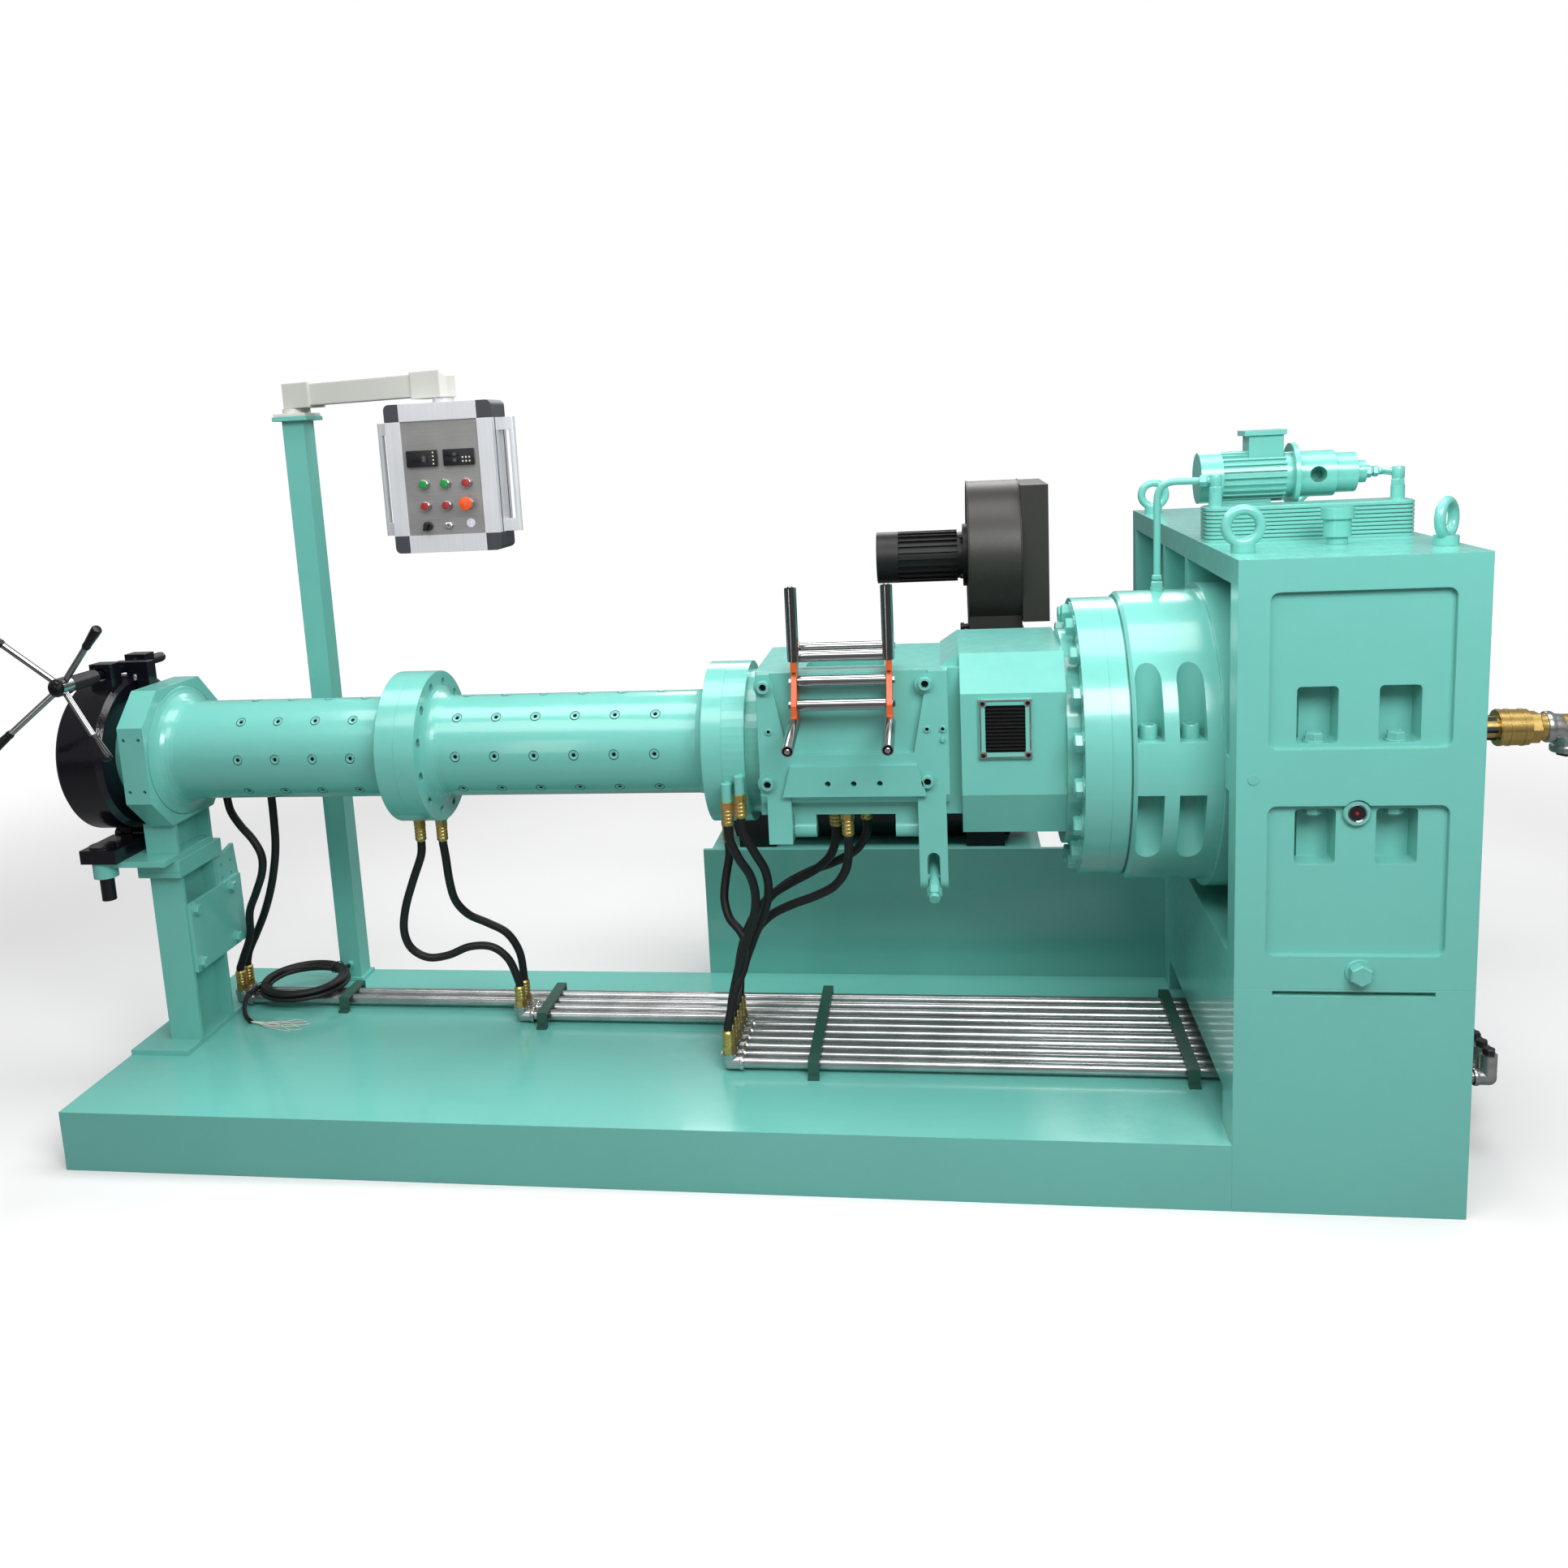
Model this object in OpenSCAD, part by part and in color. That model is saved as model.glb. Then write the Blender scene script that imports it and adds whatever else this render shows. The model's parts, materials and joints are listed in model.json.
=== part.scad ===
// Pin-barrel cold-feed rubber extruder on its base, with gear case, motor and control arm.
// Places are measured from the base's front left corner on the floor; site() centres them.

/* [Base] */
// Length of the base along the screw
base_l = 3580; // [3300:10:3900]
// Depth of the base at the gear case
base_d = 1650; // [1600:10:1800]
// Depth of the open deck under the barrel
deck_d = 980; // [970:2:1000]
// Height of the deck
deck_h = 170; // [150:2:190]
// Height of the gear case stand
stand_h = 565; // [540:5:590]
// Top of the wall between deck and motor
wall_top = 585; // [560:5:600]
// Thickness of that wall
wall_t = 16; // [10:1:24]
// Length of the motor bay behind the deck
bay_l = 1423; // [1400:1:1440]

/* [Gear case] */
// Width of the gear case along the screw
case_w = 524; // [500:2:540]
// Top of the gear case
case_top = 1562; // [1540:2:1590]
// Depth of the sunk panels on its front and back
panel_sink = 14; // [6:1:24]
// Depth of the bays between the ribs on its barrel side
bay_sink = 150; // [80:5:200]

/* [Screw line] */
// Distance of the screw axis behind the base's front
axis_y = 503; // [495:1:510]
// Height of the screw axis
axis_z = 1056; // [1046:1:1066]
// Radius of the barrel
barrel_r = 143; // [138:1:150]
// Length of the front barrel
front_l = 736; // [725:1:745]
// Radius of the flanges that join the barrels
joint_r = 214; // [208:1:220]
// Radius of the flange at the feed section
feed_flange_r = 220; // [214:1:226]
// Spacing of the pin rows along the barrel
pin_pitch = 112; // [108:1:114]
// Radius of a barrel pin's head
pin_r = 13; // [11:0.5:15]

/* [Thrust housing] */
// Radius of the drum
drum_r = 378; // [372:1:384]
// Length of the drum
drum_l = 205; // [195:1:215]
// Radius of the bolted rim in front of it
rim_r = 364; // [356:1:368]
// Width of the bolt pockets in the drum
pocket_w = 62; // [54:2:68]

/* [Feed section] */
// Length of the feed box behind the door
box_l = 519; // [512:1:526]
// Height of the feed box's top above the screw axis
box_up = 229; // [222:1:236]
// Half the depth of the feed box
box_half = 213; // [208:1:218]
// Thickness of the door
door_t = 38; // [32:1:44]
// Radius of the guide rollers
roller_r = 15; // [12:0.5:17]
// Length of the cross rollers
roller_l = 220; // [210:2:226]
// Length of the standing guide rollers
guide_l = 185; // [160:5:200]

/* [Head] */
// Distance across the flats of the head flange
head_af = 400; // [390:2:410]
// Outer radius of the clamp ring
clamp_r = 228; // [222:1:232]
// Width of the clamp ring
clamp_w = 142; // [136:1:146]
// Radius of the clamp screw
screw_r = 14; // [12:0.5:16]
// Length of a handle spoke from the screw axis
spoke_l = 265; // [220:5:290]

/* [Services] */
// Radius of the water pipes on the deck
pipe_r = 16; // [14:0.5:18]
// Spacing of the pipes
pipe_pitch = 46; // [44:1:48]
// Number of pipes
pipe_n = 10; // [10]
// Radius of the water hoses
hose_r = 12; // [10:0.5:13]

/* [Control arm] */
// Width of the square post
post_w = 70; // [60:2:76]
// Height of the post's top plate above the floor
post_top = 2012; // [1980:2:2040]
// Reach of the arm from the post to the box
arm_reach = 610; // [580:1:640]
// Width of the control box
panel_box_w = 320; // [300:5:340]
// Height of the control box
panel_box_h = 425; // [400:5:440]
// Depth of the control box
panel_box_d = 120; // [100:5:140]

/* [Hidden] */
$fn = 64;

// Finishes
paint = "#79cdb9";
enamel = "#16171c";
grey_paint = "#3c3a39";
steel = "#b9bcbf";
brass = "#a8893f";
orange = "#c8552a";
pale_grey = "#d5d5cd";
alloy = "#c9ccd0";
rubber = "#1b1b1b";
clamp_green = "#27453b";

// Cuts run this far past the faces that they open
over = 1;
// Running clearance of a shaft in its bore
run_gap = 0.05;
// Clearance beside a moving face
side_gap = 1;

// Stations along the screw line, from the gear case to the head
case_x = base_l - case_w;
drum_x = case_x - drum_l;
rim_l = 47;
rim_x = drum_x - rim_l;
thrust_l = 64;
thrust_x = rim_x - thrust_l;
back_l = 292;
box_x1 = thrust_x - back_l;
box_x = box_x1 - box_l;
neck_l = 38;
feed_flange_l = 61;
feed_x = box_x - neck_l - feed_flange_l;
head_in = 191;
oct_x1 = head_in;
seam_x = oct_x1 + front_l;
rear_l = feed_x - seam_x;
oct_l = 77;
oct_x = oct_x1 - oct_l;

// Motor bay
bay_x = case_x - bay_l;
bed_margin = 12;
bed_h = 390;
bed_l = 1050;
bed_gap = 20;
bed_back = 30;
bed_window_w = 300;
bed_window_h = 210;
bed_window_up = 80;
bed_window_shares = [1 / 4, 3 / 4];
bed_top = deck_h + bed_h;
bed_y0 = deck_d + wall_t + bed_gap;
bed_y1 = base_d - bed_back;
motor_half = 235;
motor_chamfer = 70;
motor_l = 1029;
motor_foot_h = 15;
motor_foot_w = 120;
motor_foot_in = 90;
motor_x = bay_x + bed_margin;
motor_y = (bed_y0 + bed_y1) / 2;
motor_z = bed_top + motor_foot_h + motor_half;
bell_r = 205;
bell_l = 70;

// Gear stand
tunnel_y0 = 113;
tunnel_y1 = 890;
tunnel_h = 95;
slit_in = 85;
slit_h = 11;
slit_drop = 16;
slit_sink = 20;

// Gear case
panel_in = 69;
panel_corner = 20;
panel_h = 355;
upper_panel_up = 76;
lower_panel_drop = 410;
upper_panel_z = axis_z + upper_panel_up;
lower_panel_z = axis_z - lower_panel_drop;
panel_pocket_w = 88;
panel_pocket_h = 130;
panel_pocket_sink = 75;
panel_pocket_in = 62;
gauge_r = 32;
gauge_drop = 74;
case_band = 60;
case_wall = 75;
split_half = 40;
rib_t = 30;
rib_shares = [0.39, 0.61];
drum_boss = 17;
input_boss_r = 160;
cap_r = 115;
cap_l = 40;

// Thrust housing
rim_groove = 4;
rim_step = 8;
drum_edge = 8;
pocket_x1 = 40;
pocket_x2 = 137;
pocket_up = 65;
pocket_deep = 83;
oil_boss_r = 17;
oil_boss_x = 109;
oil_boss_up = 10;

// Feed casting
neck_r = 196;
box_down = 151;
box_chamfer = 40;
back_half = 258;
back_up = 261;
back_shoulder = 92;
back_down = 206;
back_lower = 91;
back_taper = 62;
ramp_l = 48;
back_flange_r = 285;
back_flange_l = 34;
throat_w = 200;
throat_y0 = 62;
throat_y1 = 190;
throat_deep = 150;
vent_w = 130;
vent_h = 152;
vent_t = 8;
vent_in = 44;
vent_up = 4;
vent_x = box_x1 + vent_in;
vent_z = axis_z + vent_up;
vent_bar = 16;

// Feed door and its hinge
door_gap = 2;
door_in = 6;
door_end = 30;
door_drop = 89;
door_y1 = axis_y - box_half - door_gap;
door_y0 = door_y1 - door_t;
door_x0 = box_x + door_in;
door_x1 = box_x1 - door_end;
door_z0 = axis_z - door_drop;
door_z1 = axis_z + box_up;
door_recess = 20;
recess_left = 75;
recess_right = 88;
recess_up = 20;
recess_slope = 40;
recess_x0 = door_x0 + recess_left;
recess_x1 = door_x1 - recess_right;
recess_z = axis_z + recess_up;
sill_in = 58;
sill_drop = 8;
sill_t = 16;
sill_slope = 22;
sill_z1 = axis_z - sill_drop;
lip_h = 22;
lip_in = 12;
port_hole_r = 7;
port_hole_deep = 40;
port_hole_up = 34;
port_hole_pitch = 66;
hinge_in = 15;
hinge_drop = 192;
hinge_y = axis_y - box_half + hinge_in;
hinge_z = axis_z - hinge_drop;
knuckle_r = 23;
hinge_pin_r = 9;
leg_r = 27;
leg_w = 62;
leg_in = 16;
arm_w = 72;
arm_in = 10;
knuckle_w = 58;
leg_x = door_x0 + leg_in;
arm_x = door_x1 - arm_w - arm_in;
knuckle_x1 = leg_x + leg_w + side_gap;
knuckle_x2 = arm_x - side_gap - knuckle_w;
arm_drop = 125;
fork_r = 28;
fork_w = 32;
fork_deep = 58;
fork_y = door_y0 + fork_r;
fork_z = hinge_z - arm_drop;
rod_pin_r = 8;
rod_r = 14;
rod_l = 150;
rod_nut_r = 19;
rod_nut_l = 26;
rod_tilt = 30;

// Roller frame
plate_t = 14;
roller_end = 2;
roller_pin_r = 6;
frame_in = 101;
frame_x0 = box_x + frame_in;
frame_x1 = frame_x0 + 2 * plate_t + 2 * roller_end + roller_l;
roller_1_out = 38;
roller_1_up = 156;
roller_2_out = 12;
roller_2_up = 212;
roller_3_back = 25;
roller_3_up = 269;
roller_4_back = 75;
roller_4_up = 283;
cross_y = [door_y0 - roller_1_out, door_y0 - roller_2_out, door_y0 + roller_3_back, door_y0 + roller_4_back];
cross_z = [axis_z + roller_1_up, axis_z + roller_2_up, axis_z + roller_3_up, axis_z + roller_4_up];
upright_out = 16;
upright_up = 264;
upright_y = door_y0 - upright_out;
upright_z = axis_z + upright_up;
upright_block = 26;
guide_out = 64;
guide_up = 116;
guide_y = door_y0 - guide_out;
guide_z = axis_z + guide_up;
guide_tilt = 11;
guide_out_l = 160;

// Barrels
joint_l = 54;
joint_rear_l = 59;
neck_fillet = 40;
head_fillet = 47;
end_flange_l = 53;
bolt_hole_r = 13;
bolt_hole_deep = 36;
bolt_hole_n = 12;
bolt_circle_r = 182;
pin_rows = 8;
pin_deep = 4;
pin_head = 3.2;
pin_socket_r = 6;
pin_socket_deep = 2;
front_pins = 4;
rear_pins = 6;
front_pin_in = 493;
front_pin_x = seam_x - front_pin_in;
rear_free_l = rear_l - joint_rear_l - end_flange_l;
rear_pin_share = 90 / 791;
rear_pitch_share = 112 / 791;
rear_pin_x = seam_x + joint_rear_l + rear_free_l * rear_pin_share;
rear_pitch = rear_free_l * rear_pitch_share;

// Head
oct_flat_half = 110;
facet_hole_r = 5;
facet_hole_deep = 20;
facet_hole_x = 45;
facet_hole_z = 150;
clamp_out = 190;
clamp_x0 = oct_x - clamp_out;
clamp_x1 = clamp_x0 + clamp_w;
clamp_mid_x = clamp_x0 + clamp_w / 2;
clasp_r = 170;
clasp_gap = 2;
clasp_l = 30;
clasp_in = 96;
clasp_x = clamp_x0 + clasp_in;
throat_r = 150;
nose_r = 112;
nose_l = 20;
die_r = 34;
die_deep = 90;
parting = 2;
clamp_edge = 14;
screw_in = 101;
screw_up = 249;
screw_x = clamp_x0 + screw_in;
screw_z = axis_z + screw_up;
screw_front = 305;
screw_back = 197;
screw_y0 = axis_y - screw_front;
screw_y1 = axis_y + screw_back;
lug_w = 64;
lug_t = 50;
lug_y = 60;
lug_up = 30;
lug_root = 60;
nut_gap = 5;
pivot_drop = 254;
pivot_r = 10;
pivot_z = axis_z - pivot_drop;
knuckle_out_r = 20;
clamp_knuckle_w = 36;
ear_t = 18;
base_gap = 6;
base_t = 10;
base_z = pivot_z - knuckle_out_r - base_gap - base_t;
base_front = 190;
base_rear = 95;
yoke_w = 36;
yoke_t = 40;
yoke_foot = 30;
yoke_clear = 10;
hub_r = 25;
hub_l = 46;
spoke_r = 8.5;
spoke_n = 4;
spoke_rake = 18;
spoke_turn = 42;
grip_r = 14;
grip_l = 78;
sleeve_out = 151;
sleeve_in = 7;
sleeve_y = axis_y - sleeve_out;
sleeve_x = clamp_mid_x - sleeve_in;
sleeve_r = 34;
sleeve_h = 48;
bracket_t = 17;
kingpin_r = 20;
kingpin_drop = 70;
pin_boss_r = 36;
pin_boss_h = 48;
cheek_gap = 8;
cheek_h = 40;

// Column
col_out = 29;
col_w = 100;
col_d = 186;
col_x = oct_x - col_out;
col_y = axis_y - col_d / 2;
flange_t = 12;
web_t = 10;
foot_t = 15;
foot_w = 182;
foot_d = 332;
cap_plate_t = 15;
cap_out = 22;
saddle_t = 34;
saddle_z = base_z - bracket_t - saddle_t;
cap_z = saddle_z - cap_plate_t;
side_in = 8;
side_l = 285;
side_drop = 305;
side_h = 213;
side_t = 12;
side_y0 = col_y + side_in;
side_z0 = cap_z - side_drop;
gusset_up = 5;
gusset_drop = 200;
gusset_hole_r = 6;
gusset_top = cap_z + gusset_up;
gusset_y0 = col_y + col_d;
gusset_l = side_y0 + side_l - gusset_y0;
gusset_hole_y_shares = [1 / 4, 3 / 4];
gusset_hole_z_shares = [1 / 8, 1 / 3];

// Blower
blower_w = 164;
duct_h = 380;
duct_z = motor_z + duct_h;
blower_up = 275;
blower_axis_z = duct_z + blower_up;
scroll_r = 235;
scroll_foot_half = 150;
duct_flange_t = 15;
duct_out = 19;
blower_x = motor_x + motor_l - duct_out - blower_w;
inlet_w = 80;
inlet_half = 200;
inlet_drop = 195;
inlet_rise = 225;
blower_motor_r = 74;
blower_motor_l = 275;
fin_n = 24;
fin_h = 9;
fin_t = 4;
fan_cover_l = 70;
flange_disc_r = 100;
flange_disc_l = 14;
coupling_r = 130;
coupling_l = 60;
shaft_r = 40;

// Gear case top
pump_y = 560;
pump_up = 153;
pump_in = 12;
pump_z = case_top + pump_up;
pump_x = case_x + pump_in;
pump_motor_r = 58;
pump_motor_l = 226;
pump_fin_h = 7;
pump_cover_l = 56;
pump_flange_r = 80;
pump_flange_l = 12;
bell_house_r = 58;
bell_house_l = 92;
bell_window_r = 20;
gear_pump_r = 50;
gear_pump_l = 52;
pump_nose_r = 28;
pump_nose_l = 26;
terminal_w = 84;
terminal_d = 74;
terminal_h = 46;
terminal_x = 120;
terminal_lid = 12;
stand_w = 120;
stand_d = 60;
cooler_in = 8;
cooler_x = case_x + cooler_in;
cooler_l = 490;
cooler_y = 400;
cooler_d = 108;
cooler_h = 88;
cooler_corner = 26;
cooler_rib = 5;
cooler_rib_n = 9;
oil_pipe_r = 9;
oil_elbow_r = 14;
oil_up = 152;
oil_z = case_top + oil_up;
port_in = 30;
oil_port_r = 16;
oil_port_h = 34;
breather_in = 280;
breather_x = case_x + breather_in;
breather_y = 275;
breather_r = 37;
breather_neck_r = 24;
breather_neck_h = 18;
breather_body_h = 42;
breather_cap_h = 26;
eye_r = 38;
eye_tube_r = 12;
eye_foot_r = 27;
eye_foot_h = 22;
eye_in = 43;
eye_y = 160;
eye_turn = 50;

// Rotary union
union_shaft_r = 30;
union_shaft_l = 170;
union_body_r = 46;
union_body_l = 74;
union_neck_r = 34;
union_neck_l = 54;
union_elbow_r = 32;
union_elbow_l = 44;
union_leg = 62;

// Water pipes
pipe_y = 324;
pipe_up = 24;
pipe_z = deck_h + pipe_up;
elbow_r = 20;
elbow_leg = 28;
elbow_arm = 36;
right_elbow_out = 30;
mid_elbow_in = 193;
left_elbow_in = 51;
right_elbow_x = feed_x - right_elbow_out;
mid_elbow_x = seam_x + mid_elbow_in;
left_elbow_x = oct_x + left_elbow_in;
pipe_out = 160;
outlet_leg = 62;
strap_w = 30;
strap_t = 8;
strap_over = 26;
strap_foot = 12;
strap_end = 20;
right_strap_in = 220;
mid_strap_in = 60;
left_strap_in = 345;

// Water ports, and the hose ends that seat on them
fitting_r = 14;
fitting_l = 60;
hose_stub = 12;
hex_r = 18;
hex_l = 20;
port_r = 20;
port_h = 6;
left_port_1 = 41;
left_port_2 = 186;
left_port_back = 120;
left_port_drop = 112;
left_port_h = 88;
joint_port_in = 33;
feed_port_in = 30;
stub_r = 13;
stub_out = 241;
stub_leg = 35;
stub_1_in = 13;
stub_1_drop = 71;
stub_2_in = 48;
stub_2_drop = 51;
box_port_1_in = 221;
box_port_1_out = 173;
box_port_2_in = 181;
box_port_2_out = 83;
box_port_3_in = 261;
box_port_3_out = 23;
left_port_y = axis_y + left_port_back;
left_port_z = axis_z - left_port_drop;
joint_port_z = axis_z - joint_r - port_h;
feed_port_z = axis_z - feed_flange_r - port_h;
box_port_z = axis_z - box_down - port_h;
stub_y = axis_y - stub_out;
stub_1 = [feed_x + stub_1_in, stub_y, axis_z - stub_1_drop];
stub_2 = [feed_x + stub_2_in, stub_y, axis_z - stub_2_drop];
hose_tops = [
  [oct_x1 + left_port_1, left_port_y, left_port_z],
  [oct_x1 + left_port_2, left_port_y, left_port_z],
  [seam_x - joint_port_in, axis_y, joint_port_z],
  [seam_x + joint_port_in, axis_y, joint_port_z],
  [feed_x - feed_port_in, axis_y, feed_port_z],
  [stub_1[0], stub_y, stub_1[2] - stub_leg],
  [stub_2[0], stub_y, stub_2[2] - stub_leg],
  [box_x + box_port_1_in, axis_y - box_port_1_out, box_port_z],
  [box_x + box_port_2_in, axis_y - box_port_2_out, box_port_z],
  [box_x + box_port_3_in, axis_y - box_port_3_out, box_port_z]
];
// The pipe that each hose runs down to
hose_pipes = [8, 9, 6, 7, 0, 1, 2, 3, 4, 5];

// Control arm
post_x = 440;
post_in = 55;
post_y = deck_d - post_in;
post_foot = 90;
post_foot_t = 12;
post_cap = 112;
post_cap_t = 12;
gland_r = 12;
gland_l = 12;
gland_up = 55;
gland_z = deck_h + gland_up;
arm_turn = -22;
arm_base_w = 104;
arm_base_t = 10;
arm_neck_r = 42;
arm_neck_h = 14;
arm_h = 64;
arm_d = 54;
arm_end_h = 76;
arm_end_d = 66;
arm_end_l = 93;
arm_end_cut = 16;
swivel_r = 34;
swivel_gap = 0.3;
spigot_r = 18;
spigot_h = 40;
hanger_r = 30;
hanger_h = 14;
corner_w = 44;
corner_h = 50;
face_w = 46;
face_sink = 6;
handle_off = 38;
handle_r = 9;
handle_l = 325;
handle_arm = 36;
arm_z0 = post_top + arm_base_t + arm_neck_h + swivel_gap;
arm_end_x = post_x + arm_reach * cos(arm_turn);
arm_end_y = post_y + arm_reach * sin(arm_turn);
box_top = arm_z0 - swivel_gap - hanger_h;

// Cable coil on the deck
coil_in = 187;
coil_x = left_elbow_x + coil_in;
coil_y = 745;
coil_in_r = 104;
coil_out_r = 150;
coil_h = 36;
coil_z = pipe_z + pipe_r + run_gap;
cable_r = 7;

// Ways of the water hoses between their upper and lower ends
hose_routes = [
  [[242, 618, 832], [272, 610, 790], [312, 604, 745], [334, 603, 695], [326, 608, 640], [292, 620, 572],
   [250, 642, 500], [222, 676, 410], [184, 690, 335]],
  [[376, 625, 832], [373, 628, 780], [368, 632, 728], [354, 640, 665], [320, 662, 575], [270, 694, 480],
   [220, 718, 400], [178, 736, 335]],
  [[888, 504, 725], [852, 512, 645], [818, 520, 560], [802, 530, 485], [816, 538, 428], [862, 548, 395],
   [922, 560, 398], [985, 572, 420], [1050, 584, 415], [1096, 594, 370]],
  [[962, 508, 720], [960, 525, 640], [963, 550, 572], [988, 580, 518], [1036, 605, 482], [1086, 625, 442],
   [1115, 640, 375]],
  [[1800, 500, 722], [1790, 486, 668], [1786, 462, 612], [1802, 435, 566], [1836, 405, 538], [1855, 385, 498],
   [1846, 365, 446], [1822, 345, 388]],
  [[1845, 264, 845], [1865, 275, 790], [1890, 295, 735], [1898, 310, 670], [1885, 325, 600], [1855, 340, 520],
   [1828, 355, 430], [1808, 367, 350]],
  [[1882, 266, 865], [1905, 285, 805], [1928, 310, 745], [1930, 335, 680], [1912, 358, 610], [1875, 380, 525],
   [1838, 400, 430], [1810, 413, 350]],
  [[2149, 333, 790], [2138, 345, 735], [2105, 362, 685], [2050, 380, 650], [1985, 397, 620], [1925, 412, 585],
   [1880, 428, 535], [1845, 442, 465], [1818, 455, 385]],
  [[2108, 424, 795], [2090, 436, 745], [2045, 450, 700], [1980, 465, 660], [1915, 478, 615], [1865, 490, 555],
   [1830, 500, 480], [1808, 506, 390]],
  [[2188, 484, 795], [2160, 496, 745], [2100, 510, 705], [2020, 522, 670], [1945, 533, 625], [1885, 543, 565],
   [1842, 550, 490], [1812, 553, 400]]
];

// Way of the cable from the post to the coil, and of its bare end from the coil to the deck
lead_route = [[440, 866, 225], [438, 855, 227], [433, 844, 228], [424, 834, 229]];
tail_route = [[222, 706, 229], [211, 672, 224], [208, 635, 212], [218, 600, 197], [238, 572, 184],
              [264, 552, 178]];

// Turns the corner frame into the part's frame
module site() { translate([-base_l / 2, -base_d / 2, 0]) children(); }

// A block between two corners
module slab(x0, x1, y0, y1, z0, z1) { translate([x0, y0, z0]) cube([x1 - x0, y1 - y0, z1 - z0]); }

// A round bar along X
module bar_x(x0, x1, y, z, r) { translate([x0, y, z]) rotate([0, 90, 0]) cylinder(r = r, h = x1 - x0); }

// A round bar along Y
module bar_y(y0, y1, x, z, r) { translate([x, y0, z]) rotate([-90, 0, 0]) cylinder(r = r, h = y1 - y0); }

// A round bar along Z
module bar_z(z0, z1, x, y, r) { translate([x, y, z0]) cylinder(r = r, h = z1 - z0); }

// An outline in Y and Z drawn out along X
module prism_x(x0, x1, outline) {
  translate([x0, 0, 0]) rotate([90, 0, 90]) linear_extrude(x1 - x0) polygon(outline);
}

// An outline in X and Z drawn out along Y
module prism_y(y0, y1, outline) {
  translate([0, y1, 0]) rotate([90, 0, 0]) linear_extrude(y1 - y0) polygon(outline);
}

// A profile of radius and station turned about the screw axis
module turned(x0, profile) {
  translate([x0, axis_y, axis_z]) rotate([0, 90, 0]) rotate_extrude($fn = 96) polygon(profile);
}

// A rectangle with rounded corners
module rounded_rect(w, h, r) {
  translate([r, 0]) square([w - 2 * r, h]);
  translate([0, r]) square([w, h - 2 * r]);
  for (x = [r, w - r], y = [r, h - r]) translate([x, y]) circle(r, $fn = 32);
}

// Points of a hollow quarter round of radius r, from the face at station s to the tube of radius tube_r
function cove(s, tube_r, r, side) =
  [for (a = [0 : 15 : 90]) [tube_r + r - r * sin(a), s + side * (r - r * cos(a))]];

// One smooth curve through hand points: a cubic between each pair, cut into the given steps
function between(p0, p1, p2, p3, s) =
  p1 + (p2 - p0) * s / 2 + (2 * p0 - 5 * p1 + 4 * p2 - p3) * s * s / 2
      + (3 * p1 - p0 - 3 * p2 + p3) * s * s * s / 2;
function smooth(p, steps) = let (n = len(p)) [
  for (i = [0 : n - 2], k = [0 : steps - 1])
    between(p[max(i - 1, 0)], p[i], p[i + 1], p[min(i + 2, n - 1)], k / steps),
  p[n - 1]
];

// Rings of a tube along a route
function unit_of(v) = v / norm(v);
function tangent(p, i) = unit_of(p[min(i + 1, len(p) - 1)] - p[max(i - 1, 0)]);
function across(t) = abs(t[0]) < 0.8 ? unit_of(cross([1, 0, 0], t)) : unit_of(cross([0, 1, 0], t));
function ring(p, i, r, sides) =
  let (t = tangent(p, i), u = across(t), v = cross(t, u))
  [for (k = [0 : sides - 1]) p[i] + r * (cos(360 * k / sides) * u + sin(360 * k / sides) * v)];

// A tube swept along a route as one closed skin
module tube_along(p, r, sides = 8) {
  n = len(p);
  points = [for (i = [0 : n - 1]) each ring(p, i, r, sides)];
  walls = [for (i = [0 : n - 2], k = [0 : sides - 1])
    let (a = i * sides + k, b = i * sides + (k + 1) % sides)
    [a, a + sides, b + sides, b]];
  split = [for (q = walls) each [[q[0], q[1], q[2]], [q[0], q[2], q[3]]]];
  start_cap = [for (k = [1 : sides - 2]) [0, k, k + 1]];
  end_base = (n - 1) * sides;
  end_cap = [for (k = [1 : sides - 2]) [end_base, end_base + k + 1, end_base + k]];
  polyhedron(points, concat(split, start_cap, end_cap));
}

module base_deck() {
  color(paint) site() {
    slab(0, case_x, 0, deck_d, 0, deck_h);
    slab(bay_x, case_x, deck_d, base_d, 0, deck_h);
  }
}

module motor_wall() {
  color(paint) site() slab(bay_x, case_x, deck_d, deck_d + wall_t, deck_h, wall_top);
}

module motor_bed() {
  color(paint) site() difference() {
    slab(motor_x, motor_x + bed_l, bed_y0, bed_y1, deck_h, bed_top);
    for (s = bed_window_shares)
      slab(motor_x + s * bed_l - bed_window_w / 2, motor_x + s * bed_l + bed_window_w / 2,
           bed_y0 - over, bed_y1 + over, deck_h + bed_window_up, deck_h + bed_window_up + bed_window_h);
  }
}

module gear_stand() {
  color(paint) site() difference() {
    slab(case_x, base_l, 0, base_d, 0, stand_h);
    slab(case_x - over, base_l + over, tunnel_y0, tunnel_y1, deck_h, deck_h + tunnel_h);
    slab(case_x + slit_in, base_l - slit_in, -over, slit_sink, stand_h - slit_drop,
         stand_h - slit_drop + slit_h);
  }
}

// Sunk panel with its two pockets, drawn on the plane of the case's front
module panel_cut(z0, pocket_z) {
  w = case_w - 2 * panel_in;
  translate([case_x + panel_in, panel_sink, z0]) rotate([90, 0, 0])
    linear_extrude(panel_sink + over) rounded_rect(w, panel_h, panel_corner);
  for (x = [panel_pocket_in, w - panel_pocket_in - panel_pocket_w])
    translate([case_x + panel_in + x, panel_pocket_sink, pocket_z]) rotate([90, 0, 0])
      linear_extrude(panel_pocket_sink + over) rounded_rect(panel_pocket_w, panel_pocket_h, panel_corner / 2);
}

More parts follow.
